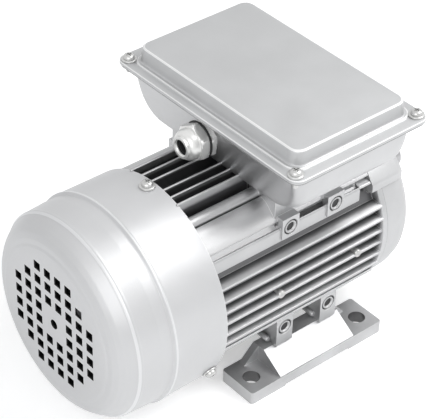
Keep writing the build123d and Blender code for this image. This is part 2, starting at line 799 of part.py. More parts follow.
def foot(y_side, name):
    """A screwed-on foot with its wedge, gussets and two mounting holes."""
    middle = [(0, y_side * (foot_outer + foot_inner) / 2)]
    low = foot_thickness - lap
    with BuildPart() as body:
        slab(level(0), 2 * foot_half_length, foot_outer - foot_inner, foot_thickness, places=middle,
             corner=foot_corner)
        with BuildSketch(Plane.YZ.offset(-ridge_half_length)) as wedge:
            with BuildLine():
                Polyline((y_side * slope_outer, low), (y_side * slope_outer, foot_thickness),
                         (y_side * ridge_outer, ridge_z), (y_side * ridge_inner, ridge_z),
                         (y_side * ridge_inner, low), close=True)
            make_face()
        extrude(wedge.sketch, amount=2 * ridge_half_length)
        with BuildSketch(Plane.XZ.offset(-y_side * ridge_inner)) as gusset:
            with BuildLine():
                Polyline((-gusset_half_length, low), (-gusset_half_length, foot_thickness),
                         (-ridge_half_length, ridge_z), (ridge_half_length, ridge_z),
                         (gusset_half_length, foot_thickness), (gusset_half_length, low), close=True)
            make_face()
        extrude(gusset.sketch, amount=-y_side * (ridge_outer - ridge_inner) / 2)
        slab(level(0), 2 * relief_half_length, 2 * foot_outer, relief_depth, Mode.SUBTRACT, middle)
        spots = [(x_side * foot_hole_pitch_x / 2, y_side * foot_hole_pitch_y / 2) for x_side in sides]
        rod(level(0), foot_hole_radius, foot_thickness, Mode.SUBTRACT, spots)
        screw_spots = [(x, y_side * foot_screw_y) for x in boss_x]
        rod(level(0), foot_screw_head_radius + free_gap, foot_screw_recess, Mode.SUBTRACT, screw_spots)
        rod(level(0), foot_screw_radius + fit_gap, ridge_z, Mode.SUBTRACT, screw_spots)
    save(body, name)


foot(1, "left_foot")
foot(-1, "right_foot")

with BuildPart() as foot_screws:
    rod(level(foot_screw_recess), foot_screw_radius, ridge_z + foot_screw_grip - foot_screw_recess,
        places=foot_screw_places)
    rod(level(foot_screw_recess), foot_screw_head_radius, -foot_screw_head, places=foot_screw_places)
    hexagon(level(foot_screw_recess - foot_screw_head), socket_flats, socket_depth, Mode.SUBTRACT, foot_screw_places)
save(foot_screws, "foot_screws")

# Terminal box base on its gasket
with BuildPart() as box_pad_gasket:
    slab(level(pad_top), pad_length, 2 * pad_half_width, box_gasket_thickness, places=pad_middle)
    slab(level(pad_top), window_length, window_width, box_gasket_thickness, Mode.SUBTRACT, [(window_x, 0)])
    rod(level(pad_top), box_screw_radius + fit_gap, box_gasket_thickness, Mode.SUBTRACT, box_screw_places)
save(box_pad_gasket, "box_pad_gasket")

capacitor_z = floor_top + strap_thickness + capacitor_radius + fit_gap
strap_screw_place = [(box_x, capacitor_y + capacitor_radius + strap_foot / 2)]
board_post_places = [(terminal_x, terminal_y - board_post_y), (terminal_x, terminal_y + board_post_y)]
earth_place = [(earth_x, earth_y)]
hollow_levels = [(floor_top, *box_levels[1][1:]), *box_levels[2:-1], (flange_z, *box_levels[-1][1:])]
hollow_levels = [(z, half_x - box_wall, half_y - box_wall) for z, half_x, half_y in hollow_levels]


def gland_plane(x):
    """A plane square to the gland, facing out of the box."""
    return Plane(origin=(x, gland_y, gland_z), x_dir=(0, 1, 0), z_dir=(-1, 0, 0))


inner_face_x = gland_seat_x + gland_boss
with BuildPart() as terminal_box_base:
    stack(box_levels, box_corner)
    rod(gland_plane(gland_seat_x), gland_seat_radius, gland_seat_x - inner_face_x)
    slab(level(box_rim_z), 2 * flange_half_x, 2 * flange_half_y, base_flange, places=[(box_x, 0)],
         corner=flange_corner)
    stack(hollow_levels, box_corner - box_wall, Mode.SUBTRACT)
    rod(gland_plane(gland_seat_x), gland_seat_radius, gland_seat_x - inner_face_x)
    rod(level(floor_top), board_post_radius, board_z - floor_top, places=board_post_places)
    rod(level(floor_top), earth_boss_radius, earth_boss_height, places=earth_place)
    slab(level(box_floor_z), window_length, window_width, box_wall, Mode.SUBTRACT, [(window_x, 0)])
    rod(level(box_floor_z), box_screw_radius + fit_gap, box_wall, Mode.SUBTRACT, box_screw_places)
    rod(level(flange_z), cover_screw_radius + fit_gap, -base_flange, Mode.SUBTRACT, cover_screw_places)
    rod(level(board_z), small_screw_radius + fit_gap, floor_top - board_z + lap, Mode.SUBTRACT, board_post_places)
    rod(level(floor_top), small_screw_radius + fit_gap, thread_spare - box_wall, Mode.SUBTRACT, strap_screw_place)
    rod(level(floor_top + earth_boss_height), small_screw_radius + fit_gap, -earth_boss_height, Mode.SUBTRACT,
        earth_place)
    rod(gland_plane(gland_seat_x), gland_thread_radius + fit_gap, gland_seat_x - inner_face_x, Mode.SUBTRACT)
save(terminal_box_base, "terminal_box_base")

with BuildPart() as box_base_screws:
    rod(level(floor_top), box_screw_radius, thread_spare - box_wall - box_gasket_thickness - box_screw_grip,
        places=box_screw_places)
    rod(level(floor_top), box_screw_head_radius, box_screw_head, places=box_screw_places)
    cross(level(floor_top + box_screw_head), box_screw_places)
save(box_base_screws, "box_base_screws")

# Cover, its gasket, screws and washers
with BuildPart() as cover_gasket:
    slab(level(flange_z), 2 * flange_half_x - lap, 2 * flange_half_y - lap, cover_gasket_thickness,
         places=[(box_x, 0)], corner=flange_corner)
    slab(level(flange_z), 2 * hollow_levels[-1][1], 2 * hollow_levels[-1][2], cover_gasket_thickness,
         Mode.SUBTRACT, [(box_x, 0)], box_corner - box_wall)
    rod(level(flange_z), cover_screw_radius + fit_gap, cover_gasket_thickness, Mode.SUBTRACT, cover_screw_places)
save(cover_gasket, "cover_gasket")

with BuildPart() as terminal_box_cover:
    slab(level(cover_z), 2 * flange_half_x, 2 * flange_half_y, cover_flange, places=[(box_x, 0)],
         corner=flange_corner)
    stack(cover_levels, cover_corner)
    top_z, top_half_x, top_half_y = cover_levels[-1]
    slab(level(cover_z), 2 * (top_half_x - cover_sheet), 2 * (top_half_y - cover_sheet),
         top_z - cover_sheet - cover_z, Mode.SUBTRACT, [(box_x, 0)], cover_corner - cover_sheet)
    rod(level(cover_z), cover_screw_radius + fit_gap, cover_flange, Mode.SUBTRACT, cover_screw_places)
save(terminal_box_cover, "terminal_box_cover")

washers([level(cover_flange_z)], cover_screw_places, "cover_washers")
pan_screws([level(cover_flange_z)], cover_screw_places, cover_screw_grip, "cover_screws")

# Run capacitor in its strap
end_x = box_x + capacitor_length / 2
with BuildPart() as run_capacitor:
    can = Plane(origin=(end_x - capacitor_length, capacitor_y, capacitor_z), x_dir=(0, 1, 0), z_dir=(1, 0, 0))
    can_length = capacitor_length - capacitor_cap_length - capacitor_tab_length
    rod(can, capacitor_radius, can_length)
    rod(can, capacitor_radius - capacitor_rim, can_length + capacitor_cap_length)
    slab(can.offset(can_length), capacitor_rim, capacitor_tab_width, capacitor_cap_length + capacitor_tab_length,
         places=[(-capacitor_radius / 3, 0), (capacitor_radius / 3, 0)])
save(run_capacitor, "run_capacitor")

with BuildPart() as capacitor_strap:
    strap_reach = capacitor_radius + strap_foot
    with BuildSketch(can.offset((can_length - strap_width) / 2 + capacitor_cap_length)) as band:
        Circle(capacitor_radius + fit_gap + strap_thickness)
        with Locations((strap_reach / 2, -capacitor_radius - fit_gap - strap_thickness / 2)):
            Rectangle(strap_reach, strap_thickness)
        Circle(capacitor_radius + fit_gap, mode=Mode.SUBTRACT)
    extrude(band.sketch, amount=strap_width)
    rod(level(floor_top), small_screw_radius + fit_gap, strap_thickness, Mode.SUBTRACT, strap_screw_place)
save(capacitor_strap, "capacitor_strap")


def small_screws(z, length, places, name):
    """Small screws with round heads."""
    with BuildPart() as screws:
        rod(level(z), small_screw_radius, -length, places=places)
        rod(level(z), small_screw_head_radius, small_screw_head, places=places)
        cross(level(z + small_screw_head), places)
    save(screws, name)


board_top = board_z + board_thickness
small_screws(floor_top + strap_thickness, strap_thickness + lap, strap_screw_place, "strap_screw")
small_screws(board_top, board_thickness + 4, board_post_places, "terminal_board_screws")
small_screws(floor_top + earth_boss_height, earth_boss_height - lap, earth_place, "earth_screw")

# Terminal board with its studs, links and nuts
stud_places = [(terminal_x + a * stud_pitch_x / 2, terminal_y + b * stud_pitch_y)
               for a in sides for b in (-1, 0, 1)]
link_places = [(terminal_x + a * stud_pitch_x / 2, terminal_y + stud_pitch_y / 2) for a in sides]
with BuildPart() as terminal_board:
    slab(level(board_z), board_width, board_length, board_thickness, places=[(terminal_x, terminal_y)],
         corner=foot_corner)
    rod(level(board_z), stud_radius + fit_gap, board_thickness, Mode.SUBTRACT, stud_places)
    rod(level(board_z), small_screw_radius + fit_gap, board_thickness, Mode.SUBTRACT, board_post_places)
save(terminal_board, "terminal_board")

with BuildPart() as terminal_studs:
    rod(level(board_z), stud_radius, board_thickness + stud_above, places=stud_places)
    rod(level(board_z), stud_radius + lap, -stud_below, places=stud_places)
save(terminal_studs, "terminal_studs")

with BuildPart() as terminal_links:
    slab(level(board_top), link_width, stud_pitch_y + link_width, link_thickness, places=link_places)
    rod(level(board_top), stud_radius + fit_gap, link_thickness, Mode.SUBTRACT, stud_places)
save(terminal_links, "terminal_links")

with BuildPart() as terminal_nuts:
    hexagon(level(board_top + link_thickness), nut_flats, nut_height, places=stud_places)
    rod(level(board_top + link_thickness), stud_radius + fit_gap, nut_height, Mode.SUBTRACT, stud_places)
save(terminal_nuts, "terminal_nuts")

# Cable gland: body, ring, seal, cap nut and the lock nut inside the box
collar_x = gland_seat_x - gland_base_hex
nut_x = collar_x - gland_ring
dome_x = nut_x - gland_nut_hex
opening_x = dome_x - gland_dome
thread_end_x = inner_face_x + gland_locknut_height + gland_thread_spare
with BuildPart() as gland_ring_seal:
    rod(gland_plane(collar_x), gland_ring_radius, gland_ring)
    rod(gland_plane(collar_x), gland_collar_radius + fit_gap, gland_ring, Mode.SUBTRACT)
save(gland_ring_seal, "gland_ring_seal")

with BuildPart() as gland_body:
    rod(gland_plane(thread_end_x), gland_thread_radius, thread_end_x - gland_seat_x)
    hexagon(gland_plane(gland_seat_x), gland_flats, gland_base_hex)
    rod(gland_plane(nut_x), gland_collar_radius, -gland_ring)
    rod(gland_plane(nut_x), gland_sleeve_radius, gland_nut_hex)
    rod(gland_plane(thread_end_x), gland_bore_radius, thread_end_x - dome_x, Mode.SUBTRACT)
save(gland_body, "gland_body")

with BuildPart() as gland_nut:
    hexagon(gland_plane(nut_x), gland_flats, gland_nut_hex)
    rings = []
    for x, radius in ((dome_x, gland_dome_radius), (dome_x - gland_dome / 2, gland_dome_radius - gland_dome_round),
                      (opening_x, gland_lip_radius)):
        with BuildSketch(gland_plane(x)) as ring:
            Circle(radius)
        rings.append(ring.sketch)
    loft(rings, ruled=True)
    rod(gland_plane(nut_x), gland_sleeve_radius + fit_gap, gland_nut_hex, Mode.SUBTRACT)
    rod(gland_plane(nut_x), gland_bore_radius, gland_nut_hex + gland_dome - gland_lip, Mode.SUBTRACT)
    rod(gland_plane(nut_x), gland_opening_radius, gland_nut_hex + gland_dome, Mode.SUBTRACT)
save(gland_nut, "gland_nut")

with BuildPart() as gland_seal:
    rod(gland_plane(nut_x), gland_bore_radius - fit_gap, gland_nut_hex + gland_dome - gland_lip)
    rod(gland_plane(nut_x), gland_opening_radius - lap, gland_nut_hex + gland_dome, Mode.SUBTRACT)
save(gland_seal, "gland_seal")

with BuildPart() as gland_locknut:
    hexagon(gland_plane(inner_face_x + gland_locknut_height), gland_flats, gland_locknut_height)
    rod(gland_plane(inner_face_x + gland_locknut_height), gland_thread_radius + fit_gap, gland_locknut_height,
        Mode.SUBTRACT)
save(gland_locknut, "gland_locknut")
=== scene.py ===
import json
import math

import bmesh
import bpy
from mathutils import Matrix, Vector


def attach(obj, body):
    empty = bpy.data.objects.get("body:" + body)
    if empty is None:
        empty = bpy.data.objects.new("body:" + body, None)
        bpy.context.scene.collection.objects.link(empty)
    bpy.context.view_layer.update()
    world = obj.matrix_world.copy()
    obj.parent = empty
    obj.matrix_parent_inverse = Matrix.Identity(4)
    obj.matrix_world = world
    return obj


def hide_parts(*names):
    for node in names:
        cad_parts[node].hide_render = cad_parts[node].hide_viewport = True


bl_info = {
    "name": "Single-phase motor dresser",
    "version": (1, 0, 0),
    "blender": (4, 5, 0),
    "location": "View3D > Sidebar > Motor",
    "description": "Dresses a foot-mounted motor with its shells, fasteners, finishes and stage",
    "category": "Object",
}

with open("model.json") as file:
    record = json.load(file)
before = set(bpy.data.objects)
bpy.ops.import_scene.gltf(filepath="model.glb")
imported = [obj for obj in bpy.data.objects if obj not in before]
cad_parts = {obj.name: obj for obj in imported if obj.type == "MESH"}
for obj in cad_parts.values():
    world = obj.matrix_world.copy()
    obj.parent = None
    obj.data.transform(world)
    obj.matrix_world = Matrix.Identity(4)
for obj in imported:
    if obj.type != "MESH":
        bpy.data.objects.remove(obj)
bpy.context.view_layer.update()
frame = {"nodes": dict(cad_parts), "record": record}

MM = 0.001
SHAFT_Z = 0.080
SHAFT_MM = SHAFT_Z / MM
BOX_X = 0.0126
X_AXIS, Y_AXIS, Z_AXIS = Vector((1, 0, 0)), Vector((0, 1, 0)), Vector((0, 0, 1))
SIDES = (1, -1)
HOUSING = "housing"


class MotorSizes(bpy.types.PropertyGroup):
    """Sizes of the dressed pieces that a user may change."""

    sheet: bpy.props.FloatProperty(
        name="Cowl sheet", description="Thickness of the pressed fan cowl",
        default=0.0013, min=0.0005, max=0.004, subtype="DISTANCE", unit="LENGTH")
    grille_pitch: bpy.props.FloatProperty(
        name="Grille pitch", description="Distance between neighbouring square holes of the grille",
        default=0.01106, min=0.006, max=0.02, subtype="DISTANCE", unit="LENGTH")
    grille_hole: bpy.props.FloatProperty(
        name="Grille hole", description="Side of one square hole of the grille",
        default=0.0067, min=0.002, max=0.01, subtype="DISTANCE", unit="LENGTH")
    grille_centre: bpy.props.FloatProperty(
        name="Grille centre hole", description="Radius of the round hole in the middle of the grille",
        default=0.0036, min=0.001, max=0.006, subtype="DISTANCE", unit="LENGTH")
    head_radius: bpy.props.FloatProperty(
        name="Screw head radius", description="Radius of the pan head screws of the cover and the cowl",
        default=0.0040, min=0.002, max=0.006, subtype="DISTANCE", unit="LENGTH")
    # Width of the painted highlight laid along sharp edges.
    edge_width: bpy.props.FloatProperty(
        name="Highlight width", description="Width of the painted highlight along sharp edges",
        default=0.0007, min=0.0001, max=0.003, subtype="DISTANCE", unit="LENGTH")


class MotorColours(bpy.types.PropertyGroup):
    """Colours of the finishes."""

    cast: bpy.props.FloatVectorProperty(
        name="Cast metal", description="Silver finish of the barrel, shields and feet",
        size=3, subtype="COLOR", min=0.0, max=1.0, default=(0.50, 0.502, 0.508))
    # Painted shade: a dark colour laid deep between the fins, and darker still in grooves, holes and the
    # cowl's lining.
    valley_shade: bpy.props.FloatVectorProperty(
        name="Valley shade", description="Painted shade deep between the fins",
        size=3, subtype="COLOR", min=0.0, max=1.0, default=(0.17, 0.17, 0.175))
    cover: bpy.props.FloatVectorProperty(
        name="Cover paint", description="Silver paint of the terminal box cover",
        size=3, subtype="COLOR", min=0.0, max=1.0, default=(0.545, 0.549, 0.554))
    cowl: bpy.props.FloatVectorProperty(
        name="Cowl paint", description="Silver paint of the fan cowl",
        size=3, subtype="COLOR", min=0.0, max=1.0, default=(0.61, 0.612, 0.62))
    # Painted highlight: a light colour laid along sharp edges and on the cover's rounded rims.
    bright: bpy.props.FloatVectorProperty(
        name="Edge highlight colour", description="Painted highlight along edges",
        size=3, subtype="COLOR", min=0.0, max=1.0, default=(0.90, 0.90, 0.90))
    zinc: bpy.props.FloatVectorProperty(
        name="Zinc", description="Plated steel of screws and washers",
        size=3, subtype="COLOR", min=0.0, max=1.0, default=(0.72, 0.72, 0.71))
    nickel: bpy.props.FloatVectorProperty(
        name="Nickel", description="Plated brass of the cable gland",
        size=3, subtype="COLOR", min=0.0, max=1.0, default=(0.76, 0.76, 0.75))
    rubber: bpy.props.FloatVectorProperty(
        name="Rubber", description="Seals and gaskets",
        size=3, subtype="COLOR", min=0.0, max=1.0, default=(0.015, 0.015, 0.016))
    copper: bpy.props.FloatVectorProperty(
        name="Winding", description="Lacquered copper wire",
        size=3, subtype="COLOR", min=0.0, max=1.0, default=(0.45, 0.17, 0.06))
    steel: bpy.props.FloatVectorProperty(
        name="Steel", description="Turned and ground steel",
        size=3, subtype="COLOR", min=0.0, max=1.0, default=(0.42, 0.42, 0.43))
    brass: bpy.props.FloatVectorProperty(
        name="Brass", description="Studs, nuts and links of the terminal board",
        size=3, subtype="COLOR", min=0.0, max=1.0, default=(0.60, 0.43, 0.17))
    board: bpy.props.FloatVectorProperty(
        name="Terminal board", description="Moulded board and fan",
        size=3, subtype="COLOR", min=0.0, max=1.0, default=(0.02, 0.02, 0.022))
    can: bpy.props.FloatVectorProperty(
        name="Capacitor can", description="Pale plastic can of the capacitor",
        size=3, subtype="COLOR", min=0.0, max=1.0, default=(0.62, 0.62, 0.59))


class MotorStage(bpy.types.PropertyGroup):
    """Floor, lamps and camera."""

    floor_colour: bpy.props.FloatVectorProperty(
        name="Floor", description="Colour of the pale floor",
        size=3, subtype="COLOR", min=0.0, max=1.0, default=(0.93, 0.93, 0.93))
    floor_lift: bpy.props.FloatProperty(
        name="Floor lift", description="Even light that cameras, mirrors and glass see added to the floor",
        default=0.40, min=0.0, max=1.0)
    key_power: bpy.props.FloatProperty(
        name="Key lamp", description="Power of the soft lamp high at the near side",
        default=12.5, min=0.0, max=100.0)
    fill_power: bpy.props.FloatProperty(
        name="Fill lamp", description="Power of the soft lamp behind the camera",
        default=5.0, min=0.0, max=100.0)
    ambient: bpy.props.FloatProperty(
        name="Ambient", description="Strength of the even light from all round",
        default=0.47, min=0.0, max=2.0)
    lens: bpy.props.FloatProperty(
        name="Lens", description="Focal length of the camera in millimetres",
        default=150.5, min=20.0, max=400.0)


def sizes():
    """The size settings of this scene."""
    return bpy.context.scene.motor_sizes


def colours():
    """The colour settings of this scene."""
    return bpy.context.scene.motor_colours


# Spans over which a noise, the bend of an edge (for the painted edge highlight) and the depth between the
# top fins (for their painted shade) turn into a mask, the fineness of the grit that breaks up the painted
# edge highlight, and how the turning marks are drawn out into rings.
NOISE_SPAN = (0.35, 0.65)
EDGE_GRIT = 350.0
EDGE_BEND = (0.985, 0.80)
TOP_FIN_REACH = (0.027, 0.028)
TOP_VALLEY_SHADE = (0.0715, 0.0732)
TURNING_STRETCH = (1.0, 0.04, 0.04)


def new_group(name, inputs, outputs):
    """An empty shader node group with named sockets, and its two ends."""
    group = bpy.data.node_groups.new(name, "ShaderNodeTree")
    for label, kind, value in inputs:
        socket = group.interface.new_socket(name=label, in_out="INPUT", socket_type=kind)
        if value is not None:
            socket.default_value = value
    for label, kind in outputs:
        group.interface.new_socket(name=label, in_out="OUTPUT", socket_type=kind)
    start = group.nodes.new("NodeGroupInput")
    end = group.nodes.new("NodeGroupOutput")
    return group, start, end


def feed(tree, socket, value):
    """Set a socket to a number, or link another socket to it."""
    if isinstance(value, (int, float)):
        socket.default_value = value
    else:
        tree.links.new(value, socket)


def math_node(tree, operation, first, second=None, clamp=False):
    """A Math node fed by sockets or numbers, and its output."""
    node = tree.nodes.new("ShaderNodeMath")
    node.operation = operation
    node.use_clamp = clamp
    for place, value in enumerate((first, second)):
        if value is not None:
            feed(tree, node.inputs[place], value)
    return node.outputs[0]


def spread(tree, value, low, high, out_low=0.0, out_high=1.0):
    """A Map Range node that clamps, and its output."""
    node = tree.nodes.new("ShaderNodeMapRange")
    node.clamp = True
    tree.links.new(value, node.inputs["Value"])
    for label, number in (("From Min", low), ("From Max", high), ("To Min", out_low), ("To Max", out_high)):
        feed(tree, node.inputs[label], number)
    return node.outputs["Result"]


def noise(tree, vector, scale, detail=3.0, roughness=0.55):
    """A noise texture over a vector, and its value."""
    node = tree.nodes.new("ShaderNodeTexNoise")
    node.inputs["Detail"].default_value = detail
    node.inputs["Roughness"].default_value = roughness
    tree.links.new(vector, node.inputs["Vector"])
    feed(tree, node.inputs["Scale"], scale)
    return node.outputs["Fac"]


def object_vector(tree):
    """The object coordinate output of a Texture Coordinate node."""
    return tree.nodes.new("ShaderNodeTexCoord").outputs["Object"]


def make_grain_group():
    """Fine grain of cast or sprayed metal: a height and a slow blotch."""
    group, start, end = new_group(
        "Metal grain",
        [("Grain Scale", "NodeSocketFloat", 900.0), ("Blotch Scale", "NodeSocketFloat", 25.0)],
        [("Height", "NodeSocketFloat"), ("Blotch", "NodeSocketFloat")])
    vector = object_vector(group)
    fine = noise(group, vector, start.outputs["Grain Scale"], detail=2.0, roughness=0.6)
    slow = noise(group, vector, start.outputs["Blotch Scale"], detail=4.0, roughness=0.6)
    group.links.new(fine, end.inputs["Height"])
    group.links.new(spread(group, slow, *NOISE_SPAN), end.inputs["Blotch"])
    return group


def make_edge_highlight_group():
    """A mask of painted highlight along sharp edges, broken up by grit."""
    group, start, end = new_group(
        "Edge wear",
        [("Width", "NodeSocketFloat", 0.0007), ("Break-up", "NodeSocketFloat", 0.3)],
        [("Mask", "NodeSocketFloat")])
    bevel = group.nodes.new("ShaderNodeBevel")
    bevel.samples = 6
    group.links.new(start.outputs["Width"], bevel.inputs["Radius"])
    geometry = group.nodes.new("ShaderNodeNewGeometry")
    dot = group.nodes.new("ShaderNodeVectorMath")
    dot.operation = "DOT_PRODUCT"
    group.links.new(bevel.outputs["Normal"], dot.inputs[0])
    group.links.new(geometry.outputs["True Normal"], dot.inputs[1])
    bend = spread(group, dot.outputs["Value"], *EDGE_BEND)
    grit = noise(group, object_vector(group), EDGE_GRIT)
    least = math_node(group, "SUBTRACT", 1.0, start.outputs["Break-up"])
    keep = spread(group, grit, *NOISE_SPAN, 1.0, least)
    group.links.new(math_node(group, "MULTIPLY", bend, keep, clamp=True), end.inputs["Mask"])
    return group


def make_valley_shade_group():
    """A mask of painted shade deep between the fins, by a point's distance from the shaft line.

    The valleys between the top fins are shallower, and their painted shade has a span of its own.
    """
    group, start, end = new_group(
        "Fin depth",
        [("Deep", "NodeSocketFloat", 0.0612), ("Shallow", "NodeSocketFloat", 0.0666)],
        [("Mask", "NodeSocketFloat")])
    parts = group.nodes.new("ShaderNodeSeparateXYZ")
    group.links.new(object_vector(group), parts.inputs[0])
    up = math_node(group, "SUBTRACT", parts.outputs["Z"], SHAFT_Z)
    squares = math_node(group, "ADD", math_node(group, "POWER", parts.outputs["Y"], 2.0),
                        math_node(group, "POWER", up, 2.0))
    radius = math_node(group, "SQRT", squares)
    mask = spread(group, radius, start.outputs["Deep"], start.outputs["Shallow"], 1.0, 0.0)
    across = math_node(group, "ABSOLUTE", parts.outputs["Y"])
    among_top = spread(group, across, *TOP_FIN_REACH, 1.0, 0.0)
    top = spread(group, radius, *TOP_VALLEY_SHADE, 1.0, 0.0)
    top_valley_shade = math_node(group, "MULTIPLY", among_top, top)
    group.links.new(math_node(group, "MAXIMUM", mask, top_valley_shade), end.inputs["Mask"])
    return group


def make_turning_group():
    """Fine rings of turned metal about the shaft line."""
    group, start, end = new_group(
        "Turning marks",
        [("Pitch", "NodeSocketFloat", 1400.0)],
        [("Height", "NodeSocketFloat")])
    stretch = group.nodes.new("ShaderNodeVectorMath")
    stretch.operation = "MULTIPLY"
    stretch.inputs[1].default_value = TURNING_STRETCH
    group.links.new(object_vector(group), stretch.inputs[0])
    rings = noise(group, stretch.outputs["Vector"], start.outputs["Pitch"], detail=2.0)
    group.links.new(rings, end.inputs["Height"])
    return group


GROUP_MAKERS = {"Metal grain": make_grain_group, "Edge wear": make_edge_highlight_group,
                "Fin depth": make_valley_shade_group, "Turning marks": make_turning_group}
GROUPS = {}


def group_node(tree, name, **values):
    """Place a shared effect in a material with its own values, whose names have _ for a space."""
    if name not in GROUPS:
        GROUPS[name] = GROUP_MAKERS[name]()
    node = tree.nodes.new("ShaderNodeGroup")
    node.node_tree = GROUPS[name]
    for label, value in values.items():
        node.inputs[label.replace("_", " ")].default_value = value
    return node


# Places of the two colours among the inputs of a Mix node, and of the mixed colour among its outputs.
MIX_FIRST, MIX_SECOND, MIX_RESULT = 6, 7, 2


def mix_colour(tree, mask, first, second):
    """Mix two colours, given as sockets or values, by a mask."""
    node = tree.nodes.new("ShaderNodeMix")
    node.data_type = "RGBA"
    tree.links.new(mask, node.inputs["Factor"])
    for place, value in ((MIX_FIRST, first), (MIX_SECOND, second)):
        if hasattr(value, "links"):
            tree.links.new(value, node.inputs[place])
        else:
            node.inputs[place].default_value = (*value, 1.0)
    return node.outputs[MIX_RESULT]


def seen_rays(tree):
    """A mask that is one for the rays of the camera, of mirrors and of glass."""
    path = tree.nodes.new("ShaderNodeLightPath")
    mirrored = math_node(tree, "MAXIMUM", path.outputs["Is Glossy Ray"], path.outputs["Is Transmission Ray"])
    return math_node(tree, "MAXIMUM", path.outputs["Is Camera Ray"], mirrored)


def tint(colour, factor):
    """A colour made lighter or darker."""
    return tuple(min(1.0, channel * factor) for channel in colour)


BLOTCH_SCALE = 25.0
ROUGH_SWING = 0.05
LEAST_ROUGH = 0.05
RELIEF_DEPTH = 0.0003


def metal(label, colour, metallic, roughness, grain, bump, blotch, factor=1.0, edge=0.0, edge_width=None,
          depth=False, turned=0.0):
    """A metal or paint finish in one of the colour settings, with grain and blotches.

    Where asked it has a painted highlight along sharp edges, painted shade in the valleys between fins, or
    turning marks in place of the grain.
    """
    paint = tint(getattr(colours(), colour), factor)
    material = bpy.data.materials.new(label)
    material.use_nodes = True
    tree = material.node_tree
    shader = tree.nodes["Principled BSDF"]
    shader.inputs["Metallic"].default_value = metallic
    surface = group_node(tree, "Metal grain", Grain_Scale=grain, Blotch_Scale=BLOTCH_SCALE)
    base = mix_colour(tree, surface.outputs["Blotch"], tint(paint, 1.0 - blotch), tint(paint, 1.0 + blotch))
    # Painted shade: the valley colour laid deep between the fins.
    if depth:
        valley_shading = group_node(tree, "Fin depth")
        base = mix_colour(tree, valley_shading.outputs["Mask"], base, colours().valley_shade)
    # Painted highlight: a light colour laid along sharp edges, as strong as edge asks.
    if edge:
        edge_highlight = group_node(tree, "Edge wear", Width=edge_width or sizes().edge_width)
        strength = math_node(tree, "MULTIPLY", edge_highlight.outputs["Mask"], edge, clamp=True)
        base = mix_colour(tree, strength, base, colours().bright)
    tree.links.new(base, shader.inputs["Base Color"])
    rough = spread(tree, surface.outputs["Blotch"], 0.0, 1.0, max(roughness - ROUGH_SWING, LEAST_ROUGH),
                   roughness + ROUGH_SWING)
    tree.links.new(rough, shader.inputs["Roughness"])
    height = surface.outputs["Height"]
    if turned:
        height = group_node(tree, "Turning marks", Pitch=turned).outputs["Height"]
    relief = tree.nodes.new("ShaderNodeBump")
    relief.inputs["Strength"].default_value = bump
    relief.inputs["Distance"].default_value = RELIEF_DEPTH
    tree.links.new(height, relief.inputs["Height"])
    tree.links.new(relief.outputs["Normal"], shader.inputs["Normal"])
    return material


